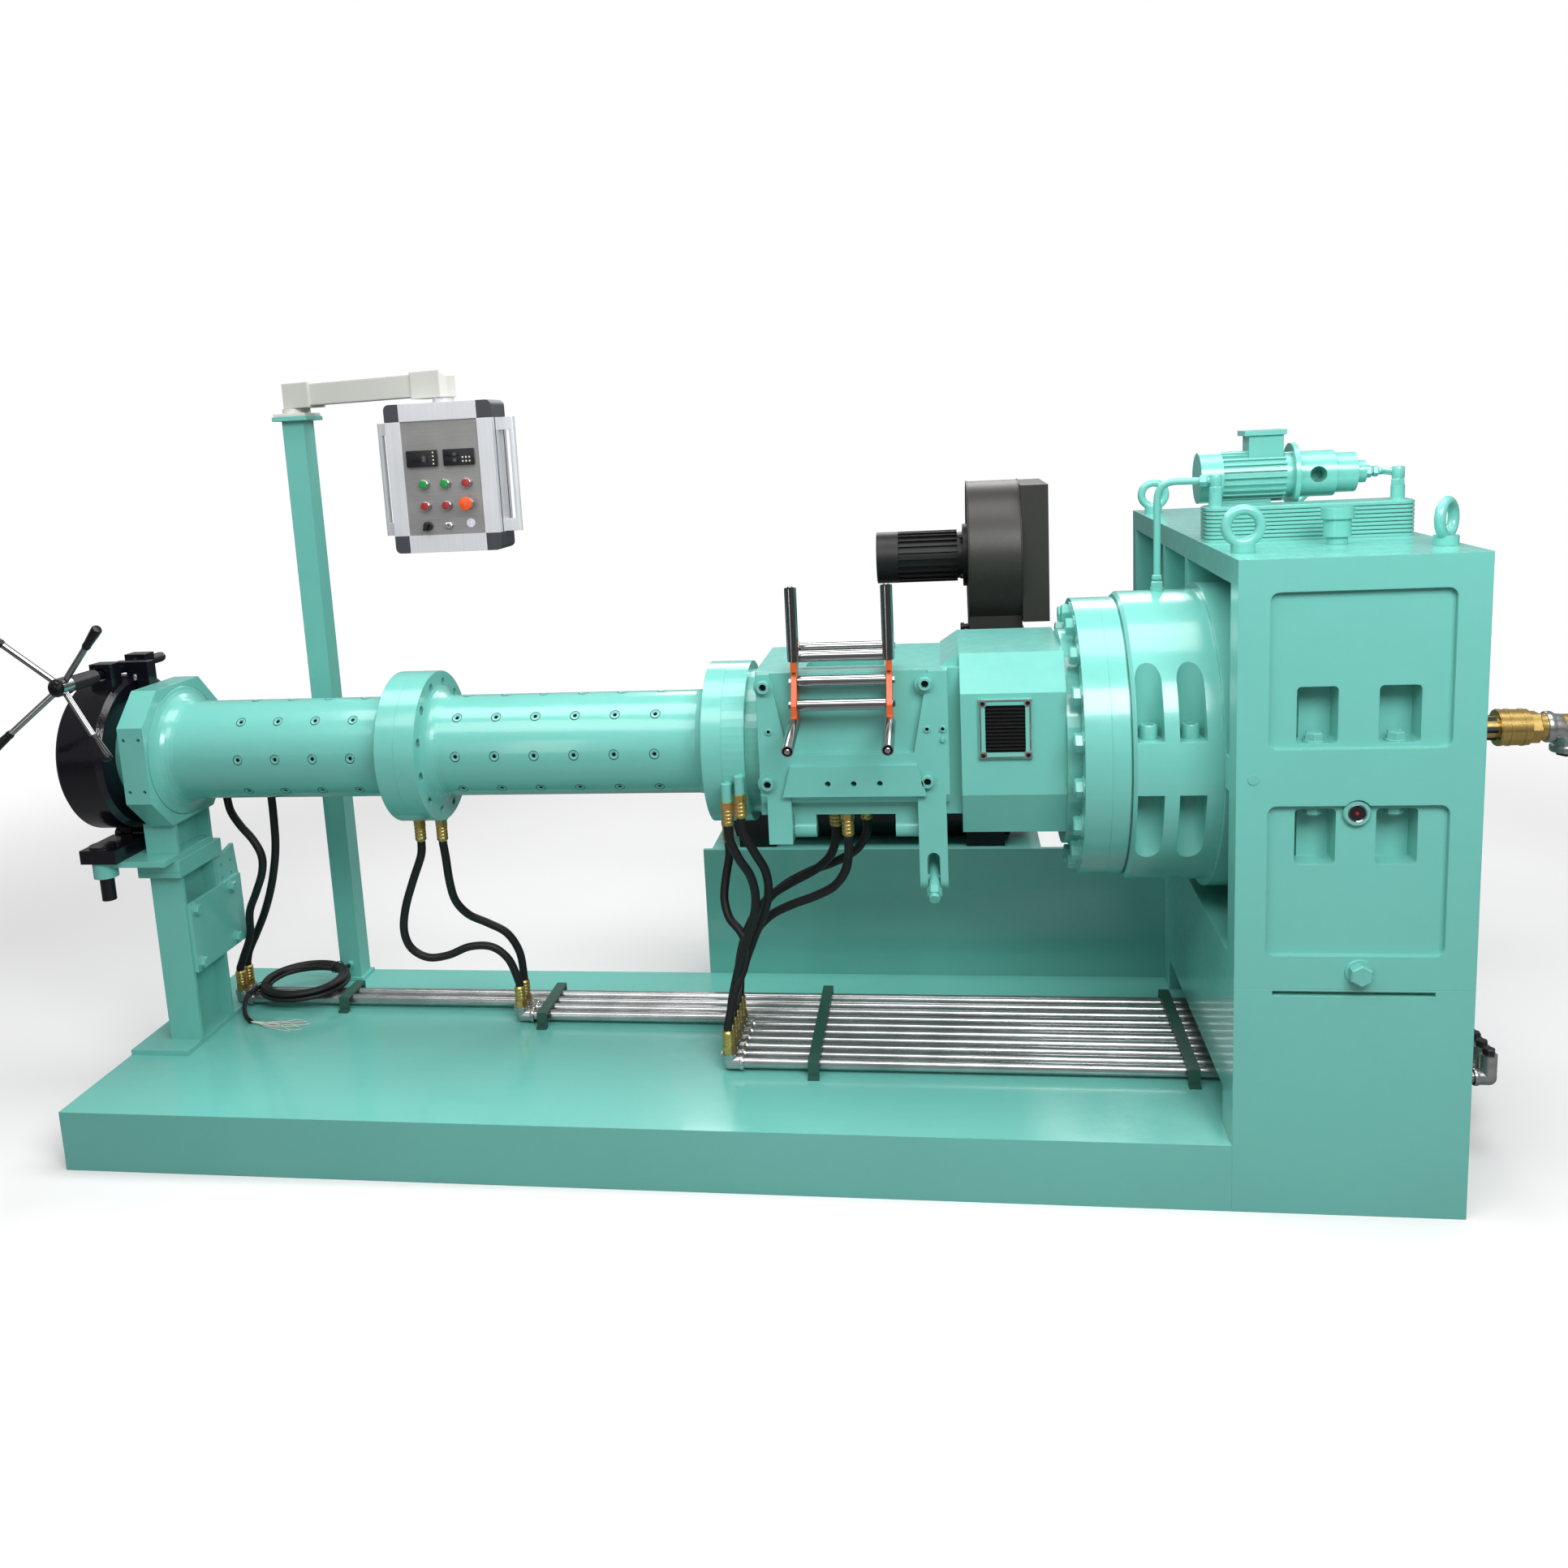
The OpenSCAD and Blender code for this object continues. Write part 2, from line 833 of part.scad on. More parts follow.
module panel_cuts() {
  panel_cut(upper_panel_z, upper_panel_z + panel_corner / 2);
  panel_cut(lower_panel_z, lower_panel_z + panel_h - panel_pocket_h - panel_corner / 2);
  bar_y(-over, panel_sink, case_x + case_w / 2, axis_z - gauge_drop, gauge_r);
}

module gear_case() {
  ribs = [for (s = rib_shares) s * base_d];
  bays = [[case_wall, ribs[0] - rib_t / 2], [ribs[0] + rib_t / 2, ribs[1] - rib_t / 2],
          [ribs[1] + rib_t / 2, base_d - case_wall]];
  color(paint) site() difference() {
    union() {
      slab(case_x, base_l, 0, base_d, stand_h, case_top);
      bar_x(base_l - over, base_l + cap_l, axis_y, axis_z, cap_r);
    }
    panel_cuts();
    translate([0, base_d, 0]) mirror([0, 1, 0]) panel_cuts();
    difference() {
      for (b = bays) {
        slab(case_x - over, case_x + bay_sink, b[0], b[1], axis_z + split_half, case_top - case_band);
        slab(case_x - over, case_x + bay_sink, b[0], b[1], stand_h + case_band, axis_z - split_half);
      }
      bar_x(case_x - 2 * over, case_x + bay_sink + over, axis_y, axis_z, drum_r + drum_boss);
      bar_x(case_x - 2 * over, case_x + bay_sink + over, motor_y, motor_z, input_boss_r);
    }
  }
}

// Bolt pockets in the drum: a slot sunk from the front, open upwards from a flat floor
module drum_pockets() {
  slot_y = axis_y - sqrt(pow(drum_r, 2) - pow(pocket_up, 2)) + pocket_deep - pocket_w / 2;
  for (x = [pocket_x1, pocket_x2]) {
    bar_z(axis_z + pocket_up, axis_z + drum_r, drum_x + x, slot_y, pocket_w / 2);
    slab(drum_x + x - pocket_w / 2, drum_x + x + pocket_w / 2, axis_y - drum_r - over, slot_y,
         axis_z + pocket_up, axis_z + drum_r);
  }
}

module drum_pocket_sets() {
  drum_pockets();
  translate([0, 0, 2 * axis_z]) mirror([0, 0, 1]) drum_pockets();
}

module thrust_housing() {
  profile = [[0, 0], [rim_r, 0], [rim_r, rim_l - rim_groove], [rim_r - rim_step, rim_l - rim_groove],
             [rim_r - rim_step, rim_l], [drum_r - drum_edge, rim_l], [drum_r, rim_l + drum_edge],
             [drum_r, rim_l + drum_l], [0, rim_l + drum_l]];
  color(paint) site() {
    difference() {
      turned(rim_x, profile);
      drum_pocket_sets();
      translate([0, 2 * axis_y, 0]) mirror([0, 1, 0]) drum_pocket_sets();
    }
    bar_z(axis_z + drum_r - drum_edge, axis_z + drum_r + oil_boss_up, drum_x + oil_boss_x, axis_y,
          oil_boss_r);
  }
}

module thrust_flange() {
  color(paint) site() bar_x(thrust_x, rim_x, axis_y, axis_z, rim_r);
}

module feed_casting() {
  box_y0 = axis_y - box_half;
  box_y1 = axis_y + box_half;
  box_z0 = axis_z - box_down;
  box_z1 = axis_z + box_up;
  box_outline = [[box_y0, box_z0], [box_y0, box_z1], [box_y1 - box_chamfer, box_z1],
                 [box_y1, box_z1 - box_chamfer], [box_y1, box_z0]];
  back_outline = [
    [axis_y - back_half, axis_z - back_lower], [axis_y - back_half, axis_z + back_up - back_shoulder],
    [axis_y - back_half + back_taper, axis_z + back_up], [axis_y + back_half - back_taper, axis_z + back_up],
    [axis_y + back_half, axis_z + back_up - back_shoulder], [axis_y + back_half, axis_z - back_lower],
    [axis_y + back_half - back_taper, axis_z - back_down],
    [axis_y - back_half + back_taper, axis_z - back_down]];
  ramp_outline = [[box_x1 - ramp_l, box_z1], [box_x1, axis_z + back_up], [box_x1, box_z1]];
  color(paint) site() difference() {
    union() {
      bar_x(feed_x, feed_x + feed_flange_l, axis_y, axis_z, feed_flange_r);
      bar_x(feed_x + feed_flange_l, box_x, axis_y, axis_z, neck_r);
      prism_x(box_x, box_x1, box_outline);
      prism_x(box_x1, thrust_x - back_flange_l, back_outline);
      prism_y(axis_y - back_half + back_taper, axis_y + back_half - back_taper, ramp_outline);
      bar_x(thrust_x - back_flange_l, thrust_x, axis_y, axis_z, back_flange_r);
      hinge_lug(knuckle_x1);
      hinge_lug(knuckle_x2);
      hinge_pin();
      feed_ports();
      feed_stub(stub_1);
      feed_stub(stub_2);
    }
    throat_x = frame_x0 + plate_t + roller_end + (roller_l - throat_w) / 2;
    slab(throat_x, throat_x + throat_w, box_y0 + throat_y0, box_y0 + throat_y1, box_z1 - throat_deep,
         box_z1 + over);
  }
}

// Fixed half of a door hinge, hung from the underside of the feed box
module hinge_lug(x) {
  bar_x(x, x + knuckle_w, hinge_y, hinge_z, knuckle_r);
  slab(x, x + knuckle_w, axis_y - box_half, hinge_y + knuckle_r, hinge_z, axis_z - box_down);
}

// The two stub pins that carry the door
module hinge_pin() {
  bar_x(leg_x, knuckle_x1 + knuckle_w, hinge_y, hinge_z, hinge_pin_r);
  bar_x(knuckle_x2, arm_x + arm_w, hinge_y, hinge_z, hinge_pin_r);
}

// Water ports under the feed box
module feed_ports() {
  for (i = [7 : 9])
    translate(hose_tops[i]) cylinder(r = port_r, h = port_h + over);
}

// Water stub that leaves the feed flange to the front and turns down
module feed_stub(p) {
  bar_y(p[1], axis_y - neck_r, p[0], p[2], stub_r);
  bar_z(p[2] - stub_leg, p[2] + stub_r, p[0], p[1], stub_r);
}

// A door leg that turns on the hinge pin
module door_leg(x, w) {
  difference() {
    union() {
      slab(x, x + w, door_y0, door_y1, hinge_z, door_z0);
      bar_x(x, x + w, hinge_y, hinge_z, leg_r);
      slab(x, x + w, door_y0, hinge_y, hinge_z - leg_r, hinge_z);
    }
    bar_x(x - over, x + w + over, hinge_y, hinge_z, hinge_pin_r + run_gap);
  }
}

// Lever below the hinge that ends in a fork
module door_lever() {
  difference() {
    union() {
      slab(arm_x, arm_x + arm_w, door_y0, door_y0 + 2 * fork_r, fork_z, hinge_z - leg_r + over);
      bar_x(arm_x, arm_x + arm_w, fork_y, fork_z, fork_r);
    }
    slab(arm_x + (arm_w - fork_w) / 2, arm_x + (arm_w + fork_w) / 2, door_y0 - over,
         door_y0 + 2 * fork_r + over, fork_z - fork_r - over, fork_z + fork_deep);
    bar_y(door_y0 - over, door_y0 + 2 * fork_r + over, arm_x + arm_w / 2, fork_z + fork_deep, fork_w / 2);
    bar_x(arm_x - over, arm_x + arm_w + over, fork_y, fork_z, rod_pin_r);
  }
}

module feed_door() {
  sill_outline = [[door_x0 + sill_in, door_z0], [door_x0 + sill_in + sill_slope, sill_z1],
                  [door_x1 - sill_in - sill_slope, sill_z1], [door_x1 - sill_in, door_z0]];
  recess_outline = [[recess_x0, recess_z], [recess_x0 - recess_slope, door_z1 + over],
                    [recess_x1 + recess_slope, door_z1 + over], [recess_x1, recess_z]];
  lip_outline = [[door_y0, door_z0], [door_y0 + lip_in, door_z0 - lip_h], [door_y1, door_z0 - lip_h],
                 [door_y1, door_z0]];
  color(paint) site() difference() {
    union() {
      slab(door_x0, door_x1, door_y0, door_y1, door_z0, door_z1);
      prism_x(door_x0, door_x1, lip_outline);
      prism_y(door_y0 - sill_t, door_y0, sill_outline);
      door_leg(leg_x, leg_w);
      door_leg(arm_x, arm_w);
      door_lever();
    }
    prism_y(door_y0 - over, door_y0 + door_recess, recess_outline);
    for (i = [-1 : 1])
      bar_y(door_y0 - sill_t - over, door_y0 - sill_t + port_hole_deep,
            (door_x0 + door_x1) / 2 + i * port_hole_pitch, door_z0 + port_hole_up, port_hole_r);
  }
}

module door_rod() {
  color(paint) site() {
    bar_x(arm_x, arm_x + arm_w, fork_y, fork_z, rod_pin_r);
    translate([arm_x + arm_w / 2, fork_y, fork_z]) rotate([90 + rod_tilt, 0, 0]) {
      translate([0, 0, -rod_l / 2]) cylinder(r = rod_r, h = rod_l);
      translate([0, 0, rod_l / 4]) cylinder(r = rod_nut_r, h = rod_nut_l, $fn = 6);
    }
  }
}

module vent_cover() {
  y1 = axis_y - back_half;
  color(paint) site() difference() {
    slab(vent_x, vent_x + vent_w, y1 - vent_t, y1, vent_z, vent_z + vent_h);
    slab(vent_x + vent_bar, vent_x + vent_w - vent_bar, y1 - vent_t - over, y1 + over,
         vent_z + vent_bar, vent_z + vent_h - vent_bar);
  }
}

module vent_mesh() {
  y1 = axis_y - back_half;
  color(enamel) site() slab(vent_x + vent_bar, vent_x + vent_w - vent_bar, y1 - vent_t / 2, y1,
                            vent_z + vent_bar, vent_z + vent_h - vent_bar);
}

// Side plate of the roller frame, curved over the top edge of the door
function frame_outline() = [
  [door_y0 + door_recess, cross_z[0] - roller_r - 2 * upright_block],
  [cross_y[0] - roller_r, cross_z[0] - roller_r - 2 * upright_block],
  [cross_y[0] - roller_r, cross_z[0]],
  [cross_y[1] - roller_r, cross_z[1]],
  [cross_y[2] - roller_r, cross_z[2]],
  [cross_y[2], cross_z[2] + roller_r],
  [cross_y[3] + roller_r, cross_z[3] + roller_r],
  [cross_y[3] + roller_r, cross_z[3] - roller_r],
  [cross_y[2] + roller_r, cross_z[2] - roller_r],
  [door_y0 + door_recess, door_z1]
];

module roller_frame() {
  xs = [frame_x0, frame_x1 - plate_t];
  color(orange) site() {
    for (x = xs) {
      prism_x(x, x + plate_t, frame_outline());
      upright_foot(x);
      guide_foot(x);
    }
    for (i = [0 : len(cross_y) - 1]) bar_x(frame_x0, frame_x1, cross_y[i], cross_z[i], roller_pin_r);
  }
}

// Bracket and pin of a standing guide roller
module upright_foot(x) {
  slab(x, x + plate_t, upright_y - upright_block / 2, cross_y[2], upright_z - upright_block, upright_z);
  bar_z(upright_z - over, upright_z + guide_l - upright_block, x + plate_t / 2, upright_y, roller_pin_r);
}

// Bracket and pin of a projecting guide roller
module guide_foot(x) {
  slab(x, x + plate_t, guide_y, cross_y[0], guide_z - upright_block / 2, guide_z + upright_block / 2);
  translate([x + plate_t / 2, guide_y + roller_pin_r, guide_z]) rotate([90 + guide_tilt, 0, 0])
    cylinder(r = roller_pin_r, h = guide_out_l - upright_block / 2);
}

module roller(l) {
  difference() {
    cylinder(r = roller_r, h = l);
    translate([0, 0, -over]) cylinder(r = roller_pin_r + run_gap, h = l + 2 * over);
  }
}

module cross_roller(i) {
  color(steel) site() translate([frame_x0 + plate_t + roller_end, cross_y[i], cross_z[i]])
    rotate([0, 90, 0]) roller(roller_l);
}

module upright(x) {
  color(steel) site() translate([x + plate_t / 2, upright_y, upright_z + side_gap]) roller(guide_l);
}

module guide(x) {
  color(steel) site() translate([x + plate_t / 2, guide_y + roller_pin_r, guide_z])
    rotate([90 + guide_tilt, 0, 0])
    translate([0, 0, roller_pin_r + 2 * roller_end]) roller(guide_out_l);
}

// Seats of the barrel pins: rows along the barrel, set around it
module pin_places(x0, columns, pitch) {
  for (c = [0 : columns - 1], k = [0 : pin_rows - 1])
    translate([x0 + c * pitch, axis_y, axis_z]) rotate([360 * k / pin_rows, 0, 0])
      translate([0, 0, barrel_r - pin_deep]) children();
}

module pin_seats(x0, columns, pitch) {
  pin_places(x0, columns, pitch) cylinder(r = pin_r + run_gap, h = pin_deep + over, $fn = 24);
}

module barrel_rear() {
  front_cove = cove(joint_rear_l, barrel_r, neck_fillet, 1);
  back_cove = cove(rear_l - end_flange_l, barrel_r, neck_fillet, -1);
  n = len(back_cove);
  outline = concat([[0, 0], [joint_r, 0], [joint_r, joint_rear_l]], front_cove,
                   [for (i = [n - 1 : -1 : 0]) back_cove[i]],
                   [[feed_flange_r, rear_l - end_flange_l], [feed_flange_r, rear_l], [0, rear_l]]);
  color(paint) site() difference() {
    union() {
      turned(seam_x, outline);
      hose_port(3, port_h + port_r);
      hose_port(4, port_h + port_r);
    }
    pin_seats(rear_pin_x, rear_pins, rear_pitch);
    for (k = [0 : bolt_hole_n - 1])
      translate([seam_x + joint_rear_l - bolt_hole_deep, axis_y, axis_z])
        rotate([360 * (k + 0.5) / bolt_hole_n, 0, 0])
        translate([0, 0, bolt_circle_r]) rotate([0, 90, 0])
          cylinder(r = bolt_hole_r, h = bolt_hole_deep + over);
  }
}

// Flat boss for a hose fitting on the underside of a round piece
module hose_port(i, h) {
  translate(hose_tops[i]) cylinder(r = port_r, h = h);
}

module barrel_front() {
  back_cove = cove(front_l - joint_l, barrel_r, neck_fillet, -1);
  n = len(back_cove);
  outline = concat([[0, 0]], cove(0, barrel_r, head_fillet, 1), [for (i = [n - 1 : -1 : 0]) back_cove[i]],
                   [[joint_r, front_l - joint_l], [joint_r, front_l], [0, front_l]]);
  color(paint) site() difference() {
    union() {
      turned(oct_x1, outline);
      for (i = [0, 1]) hose_port(i, left_port_h);
      hose_port(2, port_h + port_r);
    }
    pin_seats(front_pin_x, front_pins, pin_pitch);
  }
}

module pin_head() {
  difference() {
    cylinder(r = pin_r, h = pin_head, $fn = 24);
    translate([0, 0, pin_head - pin_socket_deep])
      cylinder(r = pin_socket_r, h = pin_socket_deep + over, $fn = 6);
  }
}

module barrel_pins() {
  color(paint) site() {
    pin_places(front_pin_x, front_pins, pin_pitch) pin_head();
    pin_places(rear_pin_x, rear_pins, rear_pitch) pin_head();
  }
}

module head_flange() {
  h = head_af / 2;
  f = oct_flat_half;
  outline = [for (p = [[-h, -f], [-h, f], [-f, h], [f, h], [h, f], [h, -f], [f, -h], [-f, -h]])
             [axis_y + p[0], axis_z + p[1]]];
  profile = [[0, 0], [clasp_r, 0], [clasp_r, clasp_l / 2], [throat_r, clasp_l / 2],
             [throat_r, oct_x - clasp_x - clasp_l / 2], [0, oct_x - clasp_x - clasp_l / 2]];
  color(paint) site() difference() {
    union() {
      prism_x(oct_x, oct_x1, outline);
      turned(clasp_x + clasp_l / 2, profile);
    }
    for (x = [-1, 1], z = [-1, 1])
      bar_y(axis_y - h - over, axis_y - h + facet_hole_deep, (oct_x + oct_x1 + x * facet_hole_x) / 2,
            axis_z + z * facet_hole_z / 2, facet_hole_r);
  }
}

module die_head() {
  x0 = clamp_x0 - nose_l;
  profile = [[die_r, 0], [nose_r, 0], [nose_r, nose_l], [throat_r, nose_l], [throat_r, clasp_x - x0],
             [clasp_r, clasp_x - x0], [clasp_r, clasp_x - x0 + clasp_l / 2], [0, clasp_x - x0 + clasp_l / 2],
             [0, die_deep], [die_r, die_deep]];
  color(enamel) site() turned(x0, profile);
}

// Half of the clamp ring on the viewer's side, with its lug and hinge knuckle
module clamp_half(side, knuckle_x) {
  profile = [[throat_r + clasp_gap, 0], [clamp_r - clamp_edge, 0], [clamp_r, clamp_edge],
             [clamp_r, clamp_w - clamp_edge],
             [clamp_r - clamp_edge, clamp_w], [throat_r + clasp_gap, clamp_w],
             [throat_r + clasp_gap, clasp_x - clamp_x0 + clasp_l + clasp_gap],
             [clasp_r + clasp_gap, clasp_x - clamp_x0 + clasp_l + clasp_gap],
             [clasp_r + clasp_gap, clasp_x - clamp_x0 - clasp_gap],
             [throat_r + clasp_gap, clasp_x - clamp_x0 - clasp_gap]];
  lug_a = axis_y + side * lug_y;
  lug_b = axis_y + side * (lug_y + lug_t);
  difference() {
    union() {
      difference() {
        turned(clamp_x0, profile);
        slab(clamp_x0 - over, clamp_x1 + over, side < 0 ? axis_y - parting : axis_y - clamp_r - over,
             side < 0 ? axis_y + clamp_r + over : axis_y + parting, axis_z - clamp_r - over,
             axis_z + clamp_r + over);
      }
      slab(screw_x - lug_w / 2, screw_x + lug_w / 2, min(lug_a, lug_b), max(lug_a, lug_b),
           axis_z + clamp_r - lug_root, screw_z + lug_up);
      slab(knuckle_x, knuckle_x + clamp_knuckle_w, side < 0 ? axis_y - knuckle_out_r : axis_y + parting,
           side < 0 ? axis_y - parting : axis_y + knuckle_out_r, pivot_z, axis_z - clamp_r + clamp_edge);
      bar_x(knuckle_x, knuckle_x + clamp_knuckle_w, axis_y, pivot_z, knuckle_out_r);
    }
    bar_x(knuckle_x - over, knuckle_x + clamp_knuckle_w + over, axis_y, pivot_z, pivot_r + run_gap);
    bar_y(min(lug_a, lug_b) - over, max(lug_a, lug_b) + over, screw_x, screw_z, screw_r + nut_gap);
    bar_x(clasp_x - clasp_gap, clasp_x + clasp_l + clasp_gap, axis_y, axis_z, clasp_r + clasp_gap);
    bar_x(clamp_x0 - over, clamp_x1 + over, axis_y, axis_z, throat_r + clasp_gap);
  }
}

module clamp_front() {
  color(enamel) site() clamp_half(-1, clamp_mid_x - side_gap - clamp_knuckle_w);
}

module clamp_rear() {
  color(enamel) site() clamp_half(1, clamp_mid_x + side_gap);
}

// Clevis under the clamp, with its hinge pin and the vertical pin of the swing bracket
module clamp_base() {
  ear_x = clamp_knuckle_w + 2 * side_gap;
  x0 = clamp_mid_x - ear_x - ear_t;
  x1 = clamp_mid_x + ear_x + ear_t;
  color(enamel) site() {
    slab(x0, x1, axis_y - base_front, axis_y + base_rear, base_z, base_z + base_t);
    for (x = [x0, x1 - ear_t]) {
      slab(x, x + ear_t, axis_y - knuckle_out_r, axis_y + knuckle_out_r, base_z, pivot_z);
      bar_x(x, x + ear_t, axis_y, pivot_z, knuckle_out_r);
    }
    slab(x0, x1, axis_y - base_front, axis_y - knuckle_out_r - cheek_gap, base_z, base_z + cheek_h);
    slab(x0, x1, axis_y + knuckle_out_r + cheek_gap, axis_y + base_rear, base_z, base_z + cheek_h);
    bar_x(x0, x1, axis_y, pivot_z, pivot_r);
    bar_z(base_z - sleeve_h - kingpin_drop, base_z + base_t, sleeve_x, sleeve_y, kingpin_r);
    bar_z(base_z, base_z + pin_boss_h, sleeve_x, sleeve_y, pin_boss_r);
  }
}

// Arm on the head flange that carries the middle of the clamp screw
module screw_yoke() {
  top = screw_z + yoke_t / 2;
  outline = [[oct_x, axis_z + head_af / 2 - yoke_foot], [oct_x, top], [screw_x - yoke_t / 2, top],
             [screw_x - yoke_t / 2, axis_z + clamp_r + yoke_clear],
             [clamp_x1 + yoke_clear, axis_z + clamp_r + yoke_clear],
             [clamp_x1 + yoke_clear, axis_z + head_af / 2 - yoke_foot]];
  color(enamel) site() difference() {
    prism_y(axis_y - yoke_w / 2, axis_y + yoke_w / 2, outline);
    bar_y(axis_y - yoke_w, axis_y + yoke_w, screw_x, screw_z, screw_r + run_gap);
  }
}

module clamp_screw() {
  color(enamel) site() bar_y(screw_y0 + hub_l, screw_y1, screw_x, screw_z, screw_r);
}

module spoke_places() {
  translate([screw_x, screw_y0 + hub_l / 2, screw_z])
    for (k = [0 : spoke_n - 1])
      rotate([0, -(spoke_turn + 360 * k / spoke_n), 0]) rotate([0, 0, -spoke_rake])
        rotate([0, 90, 0]) children();
}

module handle_spokes() {
  color(steel) site() {
    bar_y(screw_y0, screw_y0 + hub_l, screw_x, screw_z, hub_r);
    spoke_places() cylinder(r = spoke_r, h = spoke_l - grip_l);
  }
}

module handle_grips() {
  color(rubber) site() spoke_places() translate([0, 0, spoke_l - grip_l]) cylinder(r = grip_r, h = grip_l);
}

// Plate on the column's saddle with the sleeve of the head's vertical pin
module head_bracket() {
  color(paint) site() difference() {
    union() {
      slab(sleeve_x, col_x + col_w, sleeve_y - bracket_t, axis_y + col_d / 2, base_z - bracket_t, base_z);
      bar_z(base_z - sleeve_h, base_z, sleeve_x, sleeve_y, sleeve_r);
    }
    bar_z(base_z - sleeve_h - over, base_z + over, sleeve_x, sleeve_y, kingpin_r + run_gap);
  }
}

// H section standing between two levels
module h_section(z0, z1) {
  slab(col_x, col_x + col_w, col_y, col_y + flange_t, z0, z1);
  slab(col_x, col_x + col_w, col_y + col_d - flange_t, col_y + col_d, z0, z1);
  slab(col_x + (col_w - web_t) / 2, col_x + (col_w + web_t) / 2, col_y, col_y + col_d, z0, z1);
}

module column() {
  foot_y = col_y + (col_d - foot_d) / 2;
  color(paint) site() {
    slab(0, foot_w, foot_y, foot_y + foot_d, deck_h, deck_h + foot_t);
    h_section(deck_h + foot_t - over, cap_z);
    slab(col_x - cap_out, col_x + col_w + cap_out / 2, col_y - cap_out, col_y + col_d + cap_out, cap_z - over,
         saddle_z);
  }
}

module saddle() {
  color(paint) site() {
    slab(col_x - cap_out, col_x + col_w + cap_out / 2, col_y - cap_out, col_y + col_d + cap_out, saddle_z,
         saddle_z + saddle_t);
    h_section(base_z, axis_z - head_af / 2);
  }
}

module side_plate() {
  x0 = col_x + col_w;
  outline = [[gusset_y0, gusset_top - gusset_drop], [gusset_y0, gusset_top - cap_out],
             [gusset_y0 + gusset_l, gusset_top], [gusset_y0 + gusset_l + cap_out, gusset_top - gusset_drop]];
  color(paint) site() {
    slab(x0, x0 + side_t, side_y0, side_y0 + side_l, side_z0, side_z0 + side_h);
    difference() {
      prism_x(x0 - side_t, x0, outline);
      for (y = gusset_hole_y_shares, z = gusset_hole_z_shares)
        bar_x(x0 - 2 * side_t, x0 + side_t, gusset_y0 + y * gusset_l, gusset_top - cap_out - z * gusset_drop,
              gusset_hole_r);
    }
  }
}

module main_motor() {
  h = motor_half;
  c = motor_chamfer;
  corners = [[-h, c - h], [-h, h - c], [c - h, h], [h - c, h], [h, h - c], [h, c - h], [h - c, -h], [c - h, -h]];
  outline = [for (p = corners) [motor_y + p[0], motor_z + p[1]]];
  color(enamel) site() {
    prism_x(motor_x + bell_l, motor_x + motor_l - bell_l, outline);
    bar_x(motor_x, motor_x + motor_l, motor_y, motor_z, bell_r);
    for (x = [motor_foot_in, motor_l - motor_foot_in - motor_foot_w])
      slab(motor_x + x, motor_x + x + motor_foot_w, motor_y - h, motor_y + h, bed_top, motor_z - h + c);
    slab(blower_x - duct_out, blower_x + blower_w + duct_out, motor_y - scroll_foot_half,
         motor_y + scroll_foot_half, motor_z, duct_z);
  }
}

module motor_coupling() {
  x0 = motor_x + motor_l;
  mid = (x0 + case_x) / 2;
  color(steel) site() {
    bar_x(x0, mid - coupling_l, motor_y, motor_z, shaft_r);
    bar_x(mid - coupling_l, mid + coupling_l, motor_y, motor_z, coupling_r);
    bar_x(mid + coupling_l, case_x, motor_y, motor_z, shaft_r);
  }
}

module blower_scroll() {
  color(grey_paint) site() {
    slab(blower_x - duct_out, blower_x + blower_w + duct_out, motor_y - scroll_foot_half - duct_out,
         motor_y + scroll_foot_half + duct_out, duct_z, duct_z + duct_flange_t);
    slab(blower_x, blower_x + blower_w, motor_y - scroll_foot_half, motor_y + scroll_foot_half, duct_z,
         blower_axis_z);
    bar_x(blower_x, blower_x + blower_w, motor_y, blower_axis_z, scroll_r);
    slab(blower_x + blower_w - over, blower_x + blower_w + inlet_w, motor_y - inlet_half,
         motor_y + inlet_half, blower_axis_z - inlet_drop, blower_axis_z + inlet_rise);
  }
}

// Finned motor along X that ends at x1
module finned_motor(x1, l, y, z, r, fin, cover) {
  bar_x(x1 - l, x1, y, z, r);
  bar_x(x1 - l, x1 - l + cover, y, z, r + fin);
  for (k = [0 : fin_n - 1])
    translate([x1 - l + cover - over, y, z]) rotate([360 * k / fin_n, 0, 0])
      translate([0, -fin_t / 2, r - fin_t]) cube([l - cover - fan_cover_l / 4 + over, fin_t, fin + fin_t]);
}

module blower_motor() {
  color(enamel) site() {
    finned_motor(blower_x - flange_disc_l, blower_motor_l, motor_y, blower_axis_z, blower_motor_r, fin_h,
                 fan_cover_l);
    bar_x(blower_x - flange_disc_l, blower_x, motor_y, blower_axis_z, flange_disc_r);
  }
}

module pump_motor() {
  x1 = pump_x + pump_motor_l;
  color(paint) site() {
    finned_motor(x1, pump_motor_l, pump_y, pump_z, pump_motor_r, pump_fin_h, pump_cover_l);
    bar_x(x1, x1 + pump_flange_l, pump_y, pump_z, pump_flange_r);
    slab(pump_x + terminal_x, pump_x + terminal_x + terminal_w, pump_y - terminal_d / 2,
         pump_y + terminal_d / 2, pump_z, pump_z + pump_motor_r + terminal_h);
    slab(pump_x + terminal_x - terminal_lid, pump_x + terminal_x + terminal_w + terminal_lid / 2,
         pump_y - terminal_d / 2 - terminal_lid / 2, pump_y + terminal_d / 2 + terminal_lid / 2,
         pump_z + pump_motor_r + terminal_h - over, pump_z + pump_motor_r + terminal_h + terminal_lid);
    slab(pump_x + pump_cover_l, pump_x + pump_cover_l + stand_w, pump_y - stand_d / 2,
         pump_y + stand_d / 2, case_top, pump_z);
  }
}

